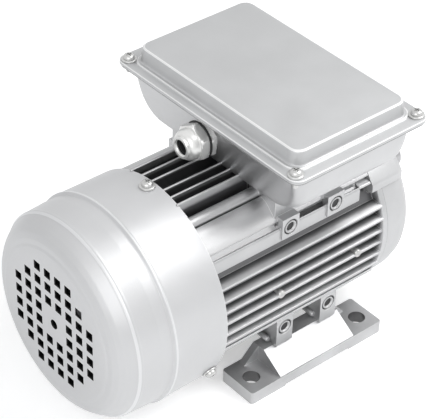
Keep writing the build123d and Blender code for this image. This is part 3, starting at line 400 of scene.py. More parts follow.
# In these recipes, edge sets the strength of the painted highlight along sharp edges.
RECIPES = {
    # The frame paint has painted shade laid deep between its fins.
    "frame_paint": dict(
        label="Frame silver", colour="cast", metallic=0.90, roughness=0.40, grain=700.0, bump=0.16,
        blotch=0.06, edge=0.85, depth=True),
    "casting": dict(
        label="Cast silver", colour="cast", factor=1.06, metallic=0.60, roughness=0.45, grain=700.0,
        bump=0.14, blotch=0.06, edge=0.55),
    "foot_paint": dict(
        label="Foot silver", colour="cast", factor=1.02, metallic=0.85, roughness=0.50, grain=600.0,
        bump=0.22, blotch=0.10, edge=0.5),
    "grey_gasket": dict(
        label="Grey gasket", colour="cover", factor=0.55, metallic=0.0, roughness=0.6, grain=1500.0,
        bump=0.1, blotch=0.1),
    # Painted highlight laid on the rounded rims of the cover.
    "rim": dict(
        label="Rubbed rim", colour="bright", metallic=0.2, roughness=0.4, grain=1200.0, bump=0.05,
        blotch=0.03),
    # Painted shade: a dark colour laid on the walls of the foot holes.
    "bore": dict(
        label="Bored metal", colour="cast", factor=0.38, metallic=0.8, roughness=0.4, grain=900.0,
        bump=0.1, blotch=0.1),
    # Painted shade laid in the bosses' seats and holes, in the corner walls' notches and on the cowl's
    # lining.
    "groove": dict(
        label="Groove shade", colour="valley_shade", factor=0.28, metallic=0.5, roughness=0.5, grain=700.0,
        bump=0.1, blotch=0.1),
    "box_paint": dict(
        label="Box silver", colour="cast", factor=1.06, metallic=0.88, roughness=0.38, grain=800.0,
        bump=0.08, blotch=0.05, edge=0.5),
    "cover_paint": dict(
        label="Cover silver", colour="cover", metallic=0.40, roughness=0.42, grain=1200.0, bump=0.05,
        blotch=0.03, edge=0.9, edge_width=0.0016),
    "cowl_paint": dict(
        label="Cowl silver", colour="cowl", metallic=0.34, roughness=0.40, grain=1200.0, bump=0.05,
        blotch=0.02, edge=0.6, edge_width=0.0014),
    # Painted highlight: a lighter copy of the cowl paint laid on the creases.
    "cowl_crease_highlight": dict(
        label="Cowl crease", colour="cowl", factor=1.24, metallic=0.30, roughness=0.36, grain=1200.0,
        bump=0.05, blotch=0.02),
    "zinc_steel": dict(
        label="Zinc plate", colour="zinc", factor=0.82, metallic=0.75, roughness=0.30, grain=500.0,
        bump=0.06, blotch=0.10, edge=0.4, edge_width=0.0003),
    "bare_steel": dict(
        label="Turned steel", colour="steel", metallic=0.95, roughness=0.30, grain=500.0, bump=0.10,
        blotch=0.08, turned=1400.0),
    "bearing_steel": dict(
        label="Ground steel", colour="steel", metallic=1.0, roughness=0.14, grain=900.0, bump=0.03,
        blotch=0.05, turned=2000.0),
    "lamination": dict(
        label="Lamination edges", colour="steel", factor=0.6, metallic=0.7, roughness=0.45, grain=500.0,
        bump=0.30, blotch=0.10, turned=1800.0),
    "copper_winding": dict(
        label="Lacquered wire", colour="copper", metallic=0.5, roughness=0.35, grain=260.0, bump=0.6,
        blotch=0.25),
    "cast_cage": dict(
        label="Cage casting", colour="cast", metallic=0.7, roughness=0.42, grain=500.0, bump=0.2,
        blotch=0.08),
    "gland_metal": dict(
        label="Nickel plate", colour="nickel", metallic=0.60, roughness=0.28, grain=900.0, bump=0.03,
        blotch=0.06, edge=0.5, edge_width=0.0004),
    "brass_links": dict(
        label="Brass", colour="brass", metallic=0.9, roughness=0.30, grain=500.0, bump=0.06, blotch=0.10),
    "black_rubber": dict(
        label="Black rubber", colour="rubber", metallic=0.0, roughness=0.62, grain=1500.0, bump=0.20,
        blotch=0.25),
    "fan_plastic": dict(
        label="Fan plastic", colour="board", metallic=0.0, roughness=0.45, grain=1500.0, bump=0.12,
        blotch=0.15),
    "board_plastic": dict(
        label="Board moulding", colour="board", metallic=0.0, roughness=0.38, grain=900.0, bump=0.12,
        blotch=0.20),
    "can_plastic": dict(
        label="Can plastic", colour="can", metallic=0.0, roughness=0.30, grain=1500.0, bump=0.04,
        blotch=0.03),
}
# Finishes made so far, by name.
FINISHES = {}


def finish(name):
    """The finish of that name, made when it is first asked for."""
    if name not in FINISHES:
        FINISHES[name] = metal(**RECIPES[name])
    return FINISHES[name]


def rounded_ring(half_x, half_y, corner, z, steps=8):
    """Points of a rounded rectangle over the box centre, anticlockwise, in metres from millimetres."""
    points = []
    for quarter in range(4):
        x_side = 1 if quarter in (0, 3) else -1
        y_side = 1 if quarter in (0, 1) else -1
        centre_x = x_side * (half_x - corner)
        centre_y = y_side * (half_y - corner)
        for step in range(steps + 1):
            angle = math.radians(90 * quarter + 90 * step / steps)
            points.append(Vector((BOX_X + (centre_x + corner * math.cos(angle)) * MM,
                                  (centre_y + corner * math.sin(angle)) * MM, z * MM)))
    return points


def profile_rings(profile, inset=0.0):
    """Rounded rings of a profile of (height, half length, half width, corner), moved in by an inset."""
    return [rounded_ring(half_x - inset, half_y - inset, corner - inset, z)
            for z, half_x, half_y, corner in profile]


def bridge(bm, low, high):
    """Faces between two rows of as many vertices, each row closed on itself."""
    count = len(low)
    for k in range(count):
        after = (k + 1) % count
        bm.faces.new((low[k], low[after], high[after], high[k]))


def loop_edges(bm, verts):
    """The edges of a closed row of vertices, made where they are missing."""
    return [bm.edges.get(pair) or bm.edges.new(pair) for pair in zip(verts, verts[1:] + verts[:1])]


def skin(bm, rings, closed=False):
    """Faces between rings of as many points, each ring closed on itself, and the rows of their vertices."""
    rows = [[bm.verts.new(p) for p in ring] for ring in rings]
    pairs = list(zip(rows, rows[1:]))
    if closed:
        pairs.append((rows[-1], rows[0]))
    for low, high in pairs:
        bridge(bm, low, high)
    return rows


def finished(bm, name, material, stands_for=(), smooth_angle=35.0):
    """Turn a bmesh into a finished piece of the housing, in place of the CAD nodes it stands for."""
    bmesh.ops.recalc_face_normals(bm, faces=bm.faces)
    mesh = bpy.data.meshes.new(name)
    bm.to_mesh(mesh)
    bm.free()
    piece = bpy.data.objects.new(name, mesh)
    bpy.context.scene.collection.objects.link(piece)
    mesh.materials.append(finish(material))
    shade(piece, smooth_angle)
    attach(piece, HOUSING)
    if stands_for:
        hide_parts(*stands_for)
    return piece


def shade(piece, angle):
    """Smooth shading, with edges sharper than the angle kept sharp."""
    mesh = piece.data
    limit = math.radians(angle)
    for polygon in mesh.polygons:
        polygon.use_smooth = True
    bm = bmesh.new()
    bm.from_mesh(mesh)
    for edge in bm.edges:
        edge.smooth = edge.is_boundary or edge.calc_face_angle(0.0) < limit
    bm.to_mesh(mesh)
    bm.free()


LATHE_STEPS = 128
# The share of a line's piece that the rounding of one of its ends may take.
CUT_SHARE = 0.45


def circle(steps):
    """Cosine and sine of evenly spaced angles once round."""
    return [(math.cos(2 * math.pi * k / steps), math.sin(2 * math.pi * k / steps)) for k in range(steps)]


def rings_about(outline, centre, along, side, other, steps):
    """Rings of an outline of (height, radius) in millimetres about a line through a centre in metres."""
    return [[centre + (along * height + (side * c + other * s) * radius) * MM for c, s in circle(steps)]
            for height, radius in outline]


def lathe(bm, outline, closed=True):
    """Turn an outline of (x, radius) in millimetres about the shaft line."""
    centre = Vector((0.0, 0.0, SHAFT_Z))
    return skin(bm, rings_about(outline, centre, X_AXIS, Y_AXIS, Z_AXIS, LATHE_STEPS), closed)


def rounded_line(points, cut, steps=3):
    """The same line of points with its corners rounded by short arcs that start a cut away."""
    out = [points[0]]
    for before, here, after in zip(points, points[1:], points[2:]):
        a, b, c = Vector(before), Vector(here), Vector(after)
        back = min(cut, (a - b).length * CUT_SHARE)
        ahead = min(cut, (c - b).length * CUT_SHARE)
        start = b + (a - b).normalized() * back
        end = b + (c - b).normalized() * ahead
        for step in range(steps + 1):
            t = step / steps
            out.append(tuple((1 - t) ** 2 * start + 2 * t * (1 - t) * b + t ** 2 * end))
    out.append(points[-1])
    return out


COWL_OUTLINE = (
    (-85.3, 76.07), (-118.0, 76.2), (-126.2, 76.3), (-127.4, 76.9), (-128.4, 76.5), (-129.5, 74.9),
    (-130.6, 74.8), (-138.0, 74.9), (-152.4, 74.0), (-153.8, 74.2), (-155.2, 73.5), (-156.4, 72.0),
    (-159.8, 70.0), (-162.8, 67.7), (-165.7, 64.4), (-167.6, 60.2), (-168.2, 57.0), (-168.6, 56.0),
    (-169.1, 54.8))
# Bands along the shaft where the cowl's creases get a painted highlight.
CREASE_HIGHLIGHT_BANDS = ((-128.1, -126.9), (-155.8, -154.3))
COWL_CORNER = 0.7
# Material slots of the cowl: its shell, its lining painted dark as shade, and its creases painted lighter as
# highlight.
SHELL, LINING_SHADE, CREASE_HIGHLIGHT = 0, 1, 2
GRILLE_CELLS = (-3.5, -2.5, -1.5, -0.5, 0.5, 1.5, 2.5, 3.5)
# Squares of the least and the greatest distance of an open cell from the middle, in pitches.
GRILLE_SPAN = (1.0, 16.0)
GRILLE_CENTRE_STEPS = 24


class MOTOR_OT_cowl(bpy.types.Operator):
    """Build the pressed fan cowl with its grille of square holes"""

    bl_idname = "motor.cowl"
    bl_label = "Fan cowl"

    def execute(self, context):
        size = sizes()
        sheet = size.sheet / MM
        outer = rounded_line(COWL_OUTLINE, COWL_CORNER)
        inner = self.moved_in(outer, sheet)
        rim_x, rim_radius = COWL_OUTLINE[0]
        face_x, face_radius = COWL_OUTLINE[-1]
        inner[0] = (rim_x, rim_radius - sheet)
        inner[-1] = (face_x + sheet, face_radius - sheet / 2)
        bm = bmesh.new()
        shell = lathe(bm, outer, closed=False)
        self.grille_faces(bm, shell[-1], face_x, size)
        self.paint_new(bm, SHELL)
        # Faces on the creases get the painted highlight.
        for face in bm.faces:
            middle = face.calc_center_median().x / MM
            if any(low < middle < high for low, high in CREASE_HIGHLIGHT_BANDS):
                face.material_index = CREASE_HIGHLIGHT
        lining = lathe(bm, inner, closed=False)
        bridge(bm, shell[0], lining[0])
        self.grille_faces(bm, lining[-1], face_x + sheet, size)
        self.hole_walls(bm, face_x, face_x + sheet, size)
        # The lining and the walls of the grille holes are painted dark as shade.
        self.paint_new(bm, LINING_SHADE)
        bmesh.ops.remove_doubles(bm, verts=bm.verts, dist=1e-6)
        piece = finished(bm, "fan_cowl", "cowl_paint", stands_for=("fan_cover",), smooth_angle=28)
        piece.data.materials.append(finish("groove"))
        piece.data.materials.append(finish("cowl_crease_highlight"))
        return {"FINISHED"}

    @staticmethod
    def moved_in(line, sheet):
        """The outline moved inward by the thickness of the sheet."""
        moved = []
        for before, here, after in zip([line[0]] + line, line, line[1:] + [line[-1]]):
            along = (Vector(after) - Vector(before)).normalized()
            moved.append(Vector(here) + Vector((-along.y, along.x)) * sheet)
        return moved

    @staticmethod
    def paint_new(bm, index):
        """Give the faces made since the last call a material slot."""
        for face in bm.faces:
            if not face.tag:
                face.material_index = index
                face.tag = True

    @staticmethod
    def holes(size):
        """Outlines of the grille holes as lists of (y, z) about the shaft line."""
        half = size.grille_hole / 2
        outlines = []
        for a in GRILLE_CELLS:
            for b in GRILLE_CELLS:
                if GRILLE_SPAN[0] < a * a + b * b < GRILLE_SPAN[1]:
                    y, z = a * size.grille_pitch, b * size.grille_pitch
                    outlines.append([(y - half, z - half), (y + half, z - half),
                                     (y + half, z + half), (y - half, z + half)])
        outlines.append([(size.grille_centre * c, size.grille_centre * s)
                         for c, s in circle(GRILLE_CENTRE_STEPS)])
        return outlines

    def grille_faces(self, bm, border, x, size):
        """Fill the flat disc inside a border ring, leaving the holes open."""
        edges = loop_edges(bm, border)
        for outline in self.holes(size):
            edges += loop_edges(bm, [bm.verts.new((x * MM, y, SHAFT_Z + z)) for y, z in outline])
        bmesh.ops.triangle_fill(bm, edges=edges, use_beauty=True)

    def hole_walls(self, bm, front, back, size):
        """The short walls of the grille holes through the sheet."""
        for outline in self.holes(size):
            skin(bm, [[Vector((front * MM, y, SHAFT_Z + z)) for y, z in outline],
                      [Vector((back * MM, y, SHAFT_Z + z)) for y, z in outline]])


COVER_PROFILE = (
    (187.8, 59.2, 91.7, 7.8), (188.1, 59.5, 92.0, 8.0), (190.0, 59.5, 92.0, 8.0),
    (190.35, 59.35, 91.85, 7.9), (190.5, 59.0, 91.5, 7.6), (190.5, 53.6, 84.0, 10.6),
    (190.65, 53.2, 83.5, 10.4), (191.1, 52.9, 83.2, 10.2), (191.45, 52.6, 82.9, 10.2),
    (191.6, 52.1, 82.4, 10.0), (191.6, 50.8, 81.9, 9.0), (191.75, 50.2, 81.4, 8.6),
    (192.3, 49.8, 81.0, 8.2), (193.6, 49.5, 80.8, 8.0), (200.4, 48.9, 80.4, 8.0), (201.6, 48.6, 80.1, 7.8),
    (202.2, 48.1, 79.6, 7.4), (202.5, 47.3, 78.8, 6.8))
# Heights of the rounded edges of the cover that get a painted highlight, and their material slot.
RIM_HIGHLIGHT_SLOT = 1
RIM_HIGHLIGHT_BANDS = ((190.0, 190.5), (191.1, 191.6), (201.6, 202.5))
BASE_PROFILE = (
    (150.0, 44.6, 59.5, 8.0), (150.3, 45.6, 63.5, 8.4), (151.2, 46.3, 68.5, 8.8), (153.0, 46.7, 73.2, 9.0),
    (155.6, 47.1, 77.0, 9.0), (159.0, 47.6, 80.0, 9.0), (163.0, 48.2, 82.2, 9.0), (167.5, 48.9, 83.6, 9.0),
    (172.5, 49.7, 84.5, 9.0), (178.0, 50.5, 84.9, 9.0), (185.2, 51.4, 85.0, 9.0), (185.8, 51.9, 85.4, 9.0),
    (185.9, 52.6, 86.0, 9.0), (185.9, 57.7, 90.2, 7.6), (186.1, 58.2, 90.7, 8.0), (186.8, 58.2, 90.7, 8.0),
    (187.0, 58.0, 90.5, 7.8))
# Hollows of the cover and the base. The base's is given like its outside, and moved in by the wall.
COVER_CAVITY = ((200.0, 46.0, 77.6, 5.4), (187.8, 46.0, 77.6, 5.4))
BOX_WALL = 3.2
BASE_CAVITY = (
    (187.0, 51.4, 83.0, 9.0), (178.0, 50.5, 82.8, 9.0), (167.5, 48.9, 81.1, 9.0), (159.0, 47.6, 77.1, 9.0),
    (155.0, 47.0, 72.0, 9.0), (153.2, 46.6, 69.0, 9.0))
# Faces whose normal is steeper than this count as flat and get no painted highlight.
FLAT = 0.999
# Posts inside the base: place, top and radius, then how far foot and top are drawn in.
POSTS = ((28.0, 15.0, 159.0, 3.6), (28.0, 53.0, 159.0, 3.6), (-20.0, 25.0, 156.2, 4.5))
POST_FOOT = 153.1
POST_TOE, POST_ROUND = 0.6, 0.4
POST_STEPS = 24


class MOTOR_OT_box_cover(bpy.types.Operator):
    """Build the stepped cover of the terminal box"""

    bl_idname = "motor.box_cover"
    bl_label = "Terminal box cover"

    def execute(self, context):
        bm = bmesh.new()
        rows = skin(bm, profile_rings(COVER_PROFILE))
        bm.faces.new(rows[-1])
        hollow = skin(bm, profile_rings(COVER_CAVITY))
        bm.faces.new(hollow[0])
        bridge(bm, rows[0], hollow[-1])
        bmesh.ops.recalc_face_normals(bm, faces=bm.faces)
        # The rounded rims of the cover get the painted highlight.
        for face in bm.faces:
            if self.on_rim_highlight(face.calc_center_median().z / MM) and abs(face.normal.z) < FLAT:
                face.material_index = RIM_HIGHLIGHT_SLOT
        piece = finished(bm, "box_cover_shell", "cover_paint", stands_for=("terminal_box_cover",),
                         smooth_angle=50)
        piece.data.materials.append(finish("rim"))
        return {"FINISHED"}

    @staticmethod
    def on_rim_highlight(height):
        """Whether a height lies on one of the rounded edges that get a painted highlight."""
        return any(low <= height <= high for low, high in RIM_HIGHLIGHT_BANDS)


class MOTOR_OT_box_base(bpy.types.Operator):
    """Build the boat-shaped base of the terminal box with its posts"""

    bl_idname = "motor.box_base"
    bl_label = "Terminal box base"

    def execute(self, context):
        bm = bmesh.new()
        rows = skin(bm, profile_rings(BASE_PROFILE) + profile_rings(BASE_CAVITY, BOX_WALL))
        bm.faces.new(rows[0])
        bm.faces.new(rows[-1])
        for x, y, top, radius in POSTS:
            self.post(bm, x, y, top, radius)
        finished(bm, "box_base_shell", "box_paint", stands_for=("terminal_box_base",), smooth_angle=50)
        return {"FINISHED"}

    @staticmethod
    def post(bm, x, y, top, radius):
        """A round post with a softened top and foot."""
        outline = ((POST_FOOT, radius - POST_TOE), (POST_FOOT + POST_TOE, radius),
                   (top - POST_ROUND, radius), (top, radius - POST_ROUND))
        rows = skin(bm, rings_about(outline, Vector((x, y, 0)) * MM, Z_AXIS, X_AXIS, Y_AXIS, POST_STEPS))
        bm.faces.new(rows[0])
        bm.faces.new(rows[-1])


SCREW_SPOTS = [(BOX_X + a * 0.0531, b * 0.0844) for a in SIDES for b in SIDES]
COVER_SEAT = 0.1905
COWL_SCREWS_X = -0.0917
COWL_SEAT = 0.07607
COWL_SCREW_ANGLES = (90.0, 210.0, 330.0)
HEAD_HEIGHT = 3.0
SHANK_RADIUS = 1.95
GRIP = 8.9
POINT = 0.001
# The head's outline as shares of its height and its radius.
HEAD_SHAPE = ((0.0, 0.94), (1 / 12, 1.0), (0.45, 1.0), (0.8, 0.86), (0.97, 0.62), (1.0, 0.40))
HEAD_STEPS = 32
# Reach and half width of the cross recess as shares of the head's radius, its depth, the share of the head's
# height at which its ends lie, and how far its rim stands above the head.
CROSS_ARM, CROSS_HALF, CROSS_DEPTH = 0.56, 0.13, 1.3
CROSS_END, CROSS_LIFT = 0.985, 0.02
WASHER_THICK = 1.4
WASHER_OUTER, WASHER_INNER = 5.4, 2.04
WASHER_SOFT = 0.15
WASHER_STEPS = 40


def pan_head(bm, centre, up, radius):
    """A cross-recessed pan head screw standing on its washer, square to the shaft."""
    other = up.cross(X_AXIS)
    seat = WASHER_THICK
    outline = [(-GRIP, POINT), (-GRIP, SHANK_RADIUS), (seat, SHANK_RADIUS)]
    outline += [(seat + HEAD_HEIGHT * height, radius * share) for height, share in HEAD_SHAPE]
    rows = skin(bm, rings_about(outline, centre, up, X_AXIS, other, HEAD_STEPS))
    bm.faces.new(rows[0])
    arm, half = radius * CROSS_ARM, radius * CROSS_HALF
    star = [(arm, -half), (arm, half), (half, half), (half, arm), (-half, arm), (-half, half),
            (-arm, half), (-arm, -half), (-half, -half), (-half, -arm), (half, -arm), (half, -half)]
    dome = [seat + HEAD_HEIGHT * (CROSS_END if max(abs(a), abs(b)) > half else 1.0) + CROSS_LIFT
            for a, b in star]
    rim = [bm.verts.new(centre + (X_AXIS * a + other * b + up * h) * MM) for (a, b), h in zip(star, dome)]
    edges = loop_edges(bm, rows[-2])
    bmesh.ops.delete(bm, geom=rows[-1], context="VERTS")
    edges += loop_edges(bm, rim)
    bmesh.ops.triangle_fill(bm, edges=edges, use_beauty=True)
    floor = [bm.verts.new(vert.co - up * CROSS_DEPTH * MM) for vert in rim]
    bridge(bm, rim, floor)
    bm.faces.new(floor)


def plain_washer(bm, centre, up):
    """A washer with softened rims."""
    side = up.orthogonal().normalized()
    rim = WASHER_OUTER - WASHER_SOFT
    outline = [(0.0, WASHER_INNER), (0.0, rim), (WASHER_SOFT, WASHER_OUTER),
               (WASHER_THICK - WASHER_SOFT, WASHER_OUTER), (WASHER_THICK, rim), (WASHER_THICK, WASHER_INNER)]
    skin(bm, rings_about(outline, centre, up, side, up.cross(side), WASHER_STEPS), closed=True)


class MOTOR_OT_fasteners(bpy.types.Operator):
    """Build the pan head screws and washers of the cover and the cowl"""

    bl_idname = "motor.fasteners"
    bl_label = "Screws and washers"

    def execute(self, context):
        places = [(Vector((x, y, COVER_SEAT)), Z_AXIS) for x, y in SCREW_SPOTS]
        self.build(places, "box_cover_screws", "cover_screws", "box_cover_washers", "cover_washers")
        places = []
        for degrees in COWL_SCREW_ANGLES:
            out = Vector((0, math.cos(math.radians(degrees)), math.sin(math.radians(degrees))))
            places.append((Vector((COWL_SCREWS_X, 0, SHAFT_Z)) + out * COWL_SEAT, out))
        self.build(places, "cowl_screws", "fan_cover_screws", "cowl_washers", "fan_cover_washers")
        return {"FINISHED"}

    @staticmethod
    def build(places, screw_name, screw_node, washer_name, washer_node):
        """One piece of screws and one of washers at these places."""
        bm = bmesh.new()
        for centre, up in places:
            pan_head(bm, centre, up, sizes().head_radius / MM)
        finished(bm, screw_name, "zinc_steel", stands_for=(screw_node,), smooth_angle=40)
        bm = bmesh.new()
        for centre, up in places:
            plain_washer(bm, centre, up)
        finished(bm, washer_name, "zinc_steel", stands_for=(washer_node,), smooth_angle=50)


GLAND_SEAT = Vector((-0.039, 0.005, 0.170))
GLAND_FLATS = 24.0
GLAND_STEPS = 96
GLAND_CORNER = 13.9
# Outlines of the gland: distance out from the box, radius, and whether the hexagon cuts it back.
GLAND_BODY = (
    (-13.6, 7.0, False), (-13.6, 9.4, False), (-13.1, 9.9, False), (0.0, 9.9, False), (0.0, 12.4, True),
    (0.5, GLAND_CORNER, True), (3.7, GLAND_CORNER, True), (4.2, 12.4, True), (4.2, 10.4, False),
    (5.7, 10.4, False), (5.7, 9.0, False), (12.7, 9.0, False), (12.7, 7.0, False))
GLAND_NUT = (
    (5.7, 9.04, False), (5.7, 12.2, True), (6.1, 13.0, True), (6.8, GLAND_CORNER, True),
    (11.5, GLAND_CORNER, True), (12.3, 13.0, True), (12.7, 12.2, True), (12.7, 11.2, False),
    (13.1, 11.1, False), (15.4, 10.9, False), (17.2, 10.4, False), (18.6, 9.5, False), (19.2, 8.7, False),
    (19.4, 8.1, False), (20.9, 8.0, False), (21.2, 7.7, False), (21.2, 6.1, False), (20.8, 5.6, False),
    (20.5, 5.8, False), (20.2, 5.5, False), (19.9, 5.8, False), (19.6, 5.6, False), (19.6, 7.0, False),
    (12.7, 7.0, False), (12.7, 9.04, False))
GLAND_RING = (
    (4.2, 10.44, False), (4.2, 12.8, False), (4.5, 13.2, False), (5.4, 13.2, False), (5.7, 12.8, False),
    (5.7, 10.44, False))


class MOTOR_OT_gland(bpy.types.Operator):
    """Build the cable gland: hexagon body, ring and domed cap nut"""

    bl_idname = "motor.gland"
    bl_label = "Cable gland"

    def execute(self, context):
        for name, outline, slot, node in (("gland_hex_body", GLAND_BODY, "gland_metal", "gland_body"),
                                          ("gland_cap", GLAND_NUT, "gland_metal", "gland_nut"),
                                          ("gland_ring", GLAND_RING, "black_rubber", "gland_ring_seal")):
            bm = bmesh.new()
            skin(bm, [self.row(*spot) for spot in outline], closed=True)
            finished(bm, name, slot, stands_for=(node,), smooth_angle=32)
        return {"FINISHED"}

    @staticmethod
    def row(out, radius, hexagonal):
        """One ring about the gland's line, cut back to the hexagon where asked."""
        points = []
        for k in range(GLAND_STEPS):
            angle = 2 * math.pi * k / GLAND_STEPS
            reach = radius
            if hexagonal:
                to_flat = (angle + math.pi / 6) % (math.pi / 3) - math.pi / 6
                reach = min(radius, GLAND_FLATS / 2 / math.cos(to_flat))
            points.append(GLAND_SEAT + Vector((-out, reach * math.cos(angle), reach * math.sin(angle))) * MM)
        return points


FRAME_BACK = -86.6
FRAME_FRONT = 67.4
RING_BACK = 63.6
WALL = 61.0
WALLS_FRONT = 57.0
BARREL_OUTLINE = (
    (FRAME_BACK, 56.02), (FRAME_FRONT, 56.02), (FRAME_FRONT, 67.9), (FRAME_FRONT - 0.4, 68.3),
    (RING_BACK, 68.3), (RING_BACK - 0.6, 67.2), (RING_BACK - 0.6, WALL), (FRAME_BACK, WALL))
# Levels of the side fins and how far out their tips reach, then their thickness at root and tip.
SIDE_FINS = (
    (24.5, 64.9), (14.7, 66.9), (4.9, 67.0), (-4.9, 67.0), (-14.7, 66.9), (-24.5, 65.2), (-34.2, 60.4))
SIDE_FIN_THICK = (3.3, 2.1)
SIDE_FIN_SUNK = 2.5
TOP_FINS = (6.3, 15.3, 24.0, -6.3, -15.3, -24.0)
TOP_FIN_THICK = (3.2, 1.7)
TOP_FIN_SUNK = 3.5
TOP_TIP = 73.4
CORNER_WALL = (
    (38.4, 48.5), (38.4, 60.6), (39.2, 61.0), (41.5, 60.5), (44.6, 58.9), (46.4, 57.4), (50.4, 53.6),
    (54.2, 49.7), (54.9, 48.7), (52.0, 46.0), (54.7, 42.7), (57.3, 44.8), (58.2, 43.6), (58.4, 42.8),
    (58.4, 34.2), (57.8, 33.5), (49.0, 33.5), (48.0, 37.8), (43.5, 43.0))
# Dark liners in the corner walls' notches between the bosses: painted shade.
WALL_NOTCH_SHADE = ((51.9, 46.2), (54.5, 43.0), (55.2, 43.6), (52.6, 46.8))
WALL_NOTCH_SHADE_ENDS = (-10.7, 15.4)
LOW_LEDGE = ((50.0, -30.0), (58.4, -31.0), (58.4, -34.0), (47.0, -42.0))
POCKET_BACK = 46.5
POCKET_TOP = 43.0
RIB_CENTRE, RIB_RADIUS, RIB_STEPS = (32.9, 60.6), 4.6, 20
BOSS_XS = (-18.05, 22.75)
# Lowest and highest edge of the upper and the lower bosses, and the level of their holes.
BOSS_SPANS = ((35.5, 52.0), (-58.0, -35.6))
BOSS_LEVEL = 43.8
BOSS_HALF = 7.4
BOSS_ROOT, BOSS_FACE = 45.0, 59.8
BOSS_HOLE = ((BOSS_FACE, 5.9), (BOSS_FACE - 0.9, 5.9), (BOSS_FACE - 0.9, 3.4), (BOSS_FACE - 9.0, 3.4))
HOLE_STEPS = 40
PAD = (-27.3, 46.0, 53.5, 148.0)
PAD_ROOT, PAD_STEPS = 58.5, 24
PEGS = [(x, side) for x in (-27.5, 15.0) for side in SIDES]
PEG_LEVEL = -54.5
PEG_OUTLINE = ((44.0, 0.01), (44.0, 2.1), (53.0, 2.1), (53.6, 1.6), (53.6, 0.01))
PEG_STEPS = 24
FIN_ROUND, FIN_LAND = 0.5, 0.35


def prism(bm, outline, start, end):
    """A closed prism along the shaft from an outline of (y, height above the shaft)."""
    rows = skin(bm, [[Vector((x, y, SHAFT_MM + z)) * MM for y, z in outline] for x in (start, end)])
    bm.faces.new(rows[0])
    bm.faces.new(rows[-1])


def side_prism(bm, outline, side, start, end):
    """A prism along the shaft on one side of the barrel."""
    prism(bm, [(side * y, z) for y, z in outline], start, end)


def fin(bm, root, tip, thick, end, direction, offset):
    """A tapered fin with a rounded tip from the back of the barrel.

    The thickness is given at root and tip, the direction as (y, z), and the offset is square to that.
    """
    dy, dz = direction
    half_root, half_tip = thick[0] / 2, thick[1] / 2
    shape = ((root, half_root), (tip - FIN_ROUND, half_tip), (tip, half_tip - FIN_LAND),
             (tip, FIN_LAND - half_tip), (tip - FIN_ROUND, -half_tip), (root, -half_root))
    prism(bm, [(out * dy + (side + offset) * abs(dz), out * dz + (side + offset) * abs(dy))
               for out, side in shape], FRAME_BACK, end)


def soften(piece, width):
    """Round the sharp edges of a piece."""
    bevel = piece.modifiers.new("soft edges", "BEVEL")
    bevel.width = width
    bevel.segments = 2
    bevel.limit_method = "ANGLE"
    bevel.angle_limit = math.radians(40)
    bevel.harden_normals = False


class MOTOR_OT_barrel(bpy.types.Operator):
    """Build the cast barrel with its fins, corner walls, bosses and box pad"""

    bl_idname = "motor.barrel"
    bl_label = "Barrel"

    def execute(self, context):
        bm = bmesh.new()
        lathe(bm, BARREL_OUTLINE)
        rib_y, rib_z = RIB_CENTRE
        for side in SIDES:
            for level, tip in SIDE_FINS:
                root = math.sqrt(WALL ** 2 - level ** 2) - SIDE_FIN_SUNK
                fin(bm, root, tip, SIDE_FIN_THICK, RING_BACK, (side, 0), level)
            side_prism(bm, CORNER_WALL, side, FRAME_BACK, POCKET_BACK)
            over_pocket = [(y, z) for y, z in CORNER_WALL if z > POCKET_TOP]
            side_prism(bm, over_pocket, side, POCKET_BACK, WALLS_FRONT)
            rib = [(rib_y + RIB_RADIUS * c, rib_z + RIB_RADIUS * s) for c, s in circle(RIB_STEPS)]
            side_prism(bm, rib, side, FRAME_BACK, WALLS_FRONT)
            side_prism(bm, LOW_LEDGE, side, FRAME_BACK, WALLS_FRONT)
            for x in BOSS_XS:
                for low, high in BOSS_SPANS:
                    self.boss(bm, x, side, low, high)
        for offset in TOP_FINS:
            for up in SIDES:
                fin(bm, WALL - TOP_FIN_SUNK, TOP_TIP, TOP_FIN_THICK, WALLS_FRONT, (0, up), offset)
        self.pad(bm)
        piece = finished(bm, "barrel_casting", "frame_paint", stands_for=("stator_frame",), smooth_angle=32)
        soften(piece, width=0.0004)
        bm = bmesh.new()
        for x, side in PEGS:
            centre = Vector((x, 0, SHAFT_MM + PEG_LEVEL)) * MM
            skin(bm, rings_about(PEG_OUTLINE, centre, Y_AXIS * side, X_AXIS, Z_AXIS, PEG_STEPS), closed=True)
        finished(bm, "barrel_pegs", "frame_paint", smooth_angle=40)
        # Painted shade in the corner walls' notches between the bosses.
        bm = bmesh.new()
        for side in SIDES:
            side_prism(bm, WALL_NOTCH_SHADE, side, *WALL_NOTCH_SHADE_ENDS)
        finished(bm, "corner_wall_grooves", "groove")
        return {"FINISHED"}

    @staticmethod
    def boss(bm, x, side, low, high):
        """A boss block with a sunk round seat for a screw."""
        level = SHAFT_MM + (BOSS_LEVEL if high > 0 else -BOSS_LEVEL)
        left, right = x - BOSS_HALF, x + BOSS_HALF
        corners = ((left, low), (right, low), (right, high), (left, high))
        front, back = [[bm.verts.new(Vector((cx, side * y, SHAFT_MM + cz)) * MM) for cx, cz in corners]
                       for y in (BOSS_FACE, BOSS_ROOT)]
        bridge(bm, front, back)
        bm.faces.new(back)
        centre = Vector((x, 0, level)) * MM
        hole = skin(bm, rings_about(BOSS_HOLE, centre, Y_AXIS * side, X_AXIS, Z_AXIS, HOLE_STEPS))
        bm.faces.new(hole[-1])
        bmesh.ops.triangle_fill(bm, edges=loop_edges(bm, front) + loop_edges(bm, hole[0]), use_beauty=True)

    @staticmethod
    def pad(bm):
        """The raised pad that carries the terminal box, open to the bore below."""
        back, front, half, top = PAD
        across = [half - 2 * half * k / PAD_STEPS for k in range(PAD_STEPS + 1)]
        lower = [(y, math.sqrt(PAD_ROOT ** 2 - y ** 2)) for y in across]
        top -= SHAFT_MM
        prism(bm, [(-half, top), (half, top)] + lower, back, front)


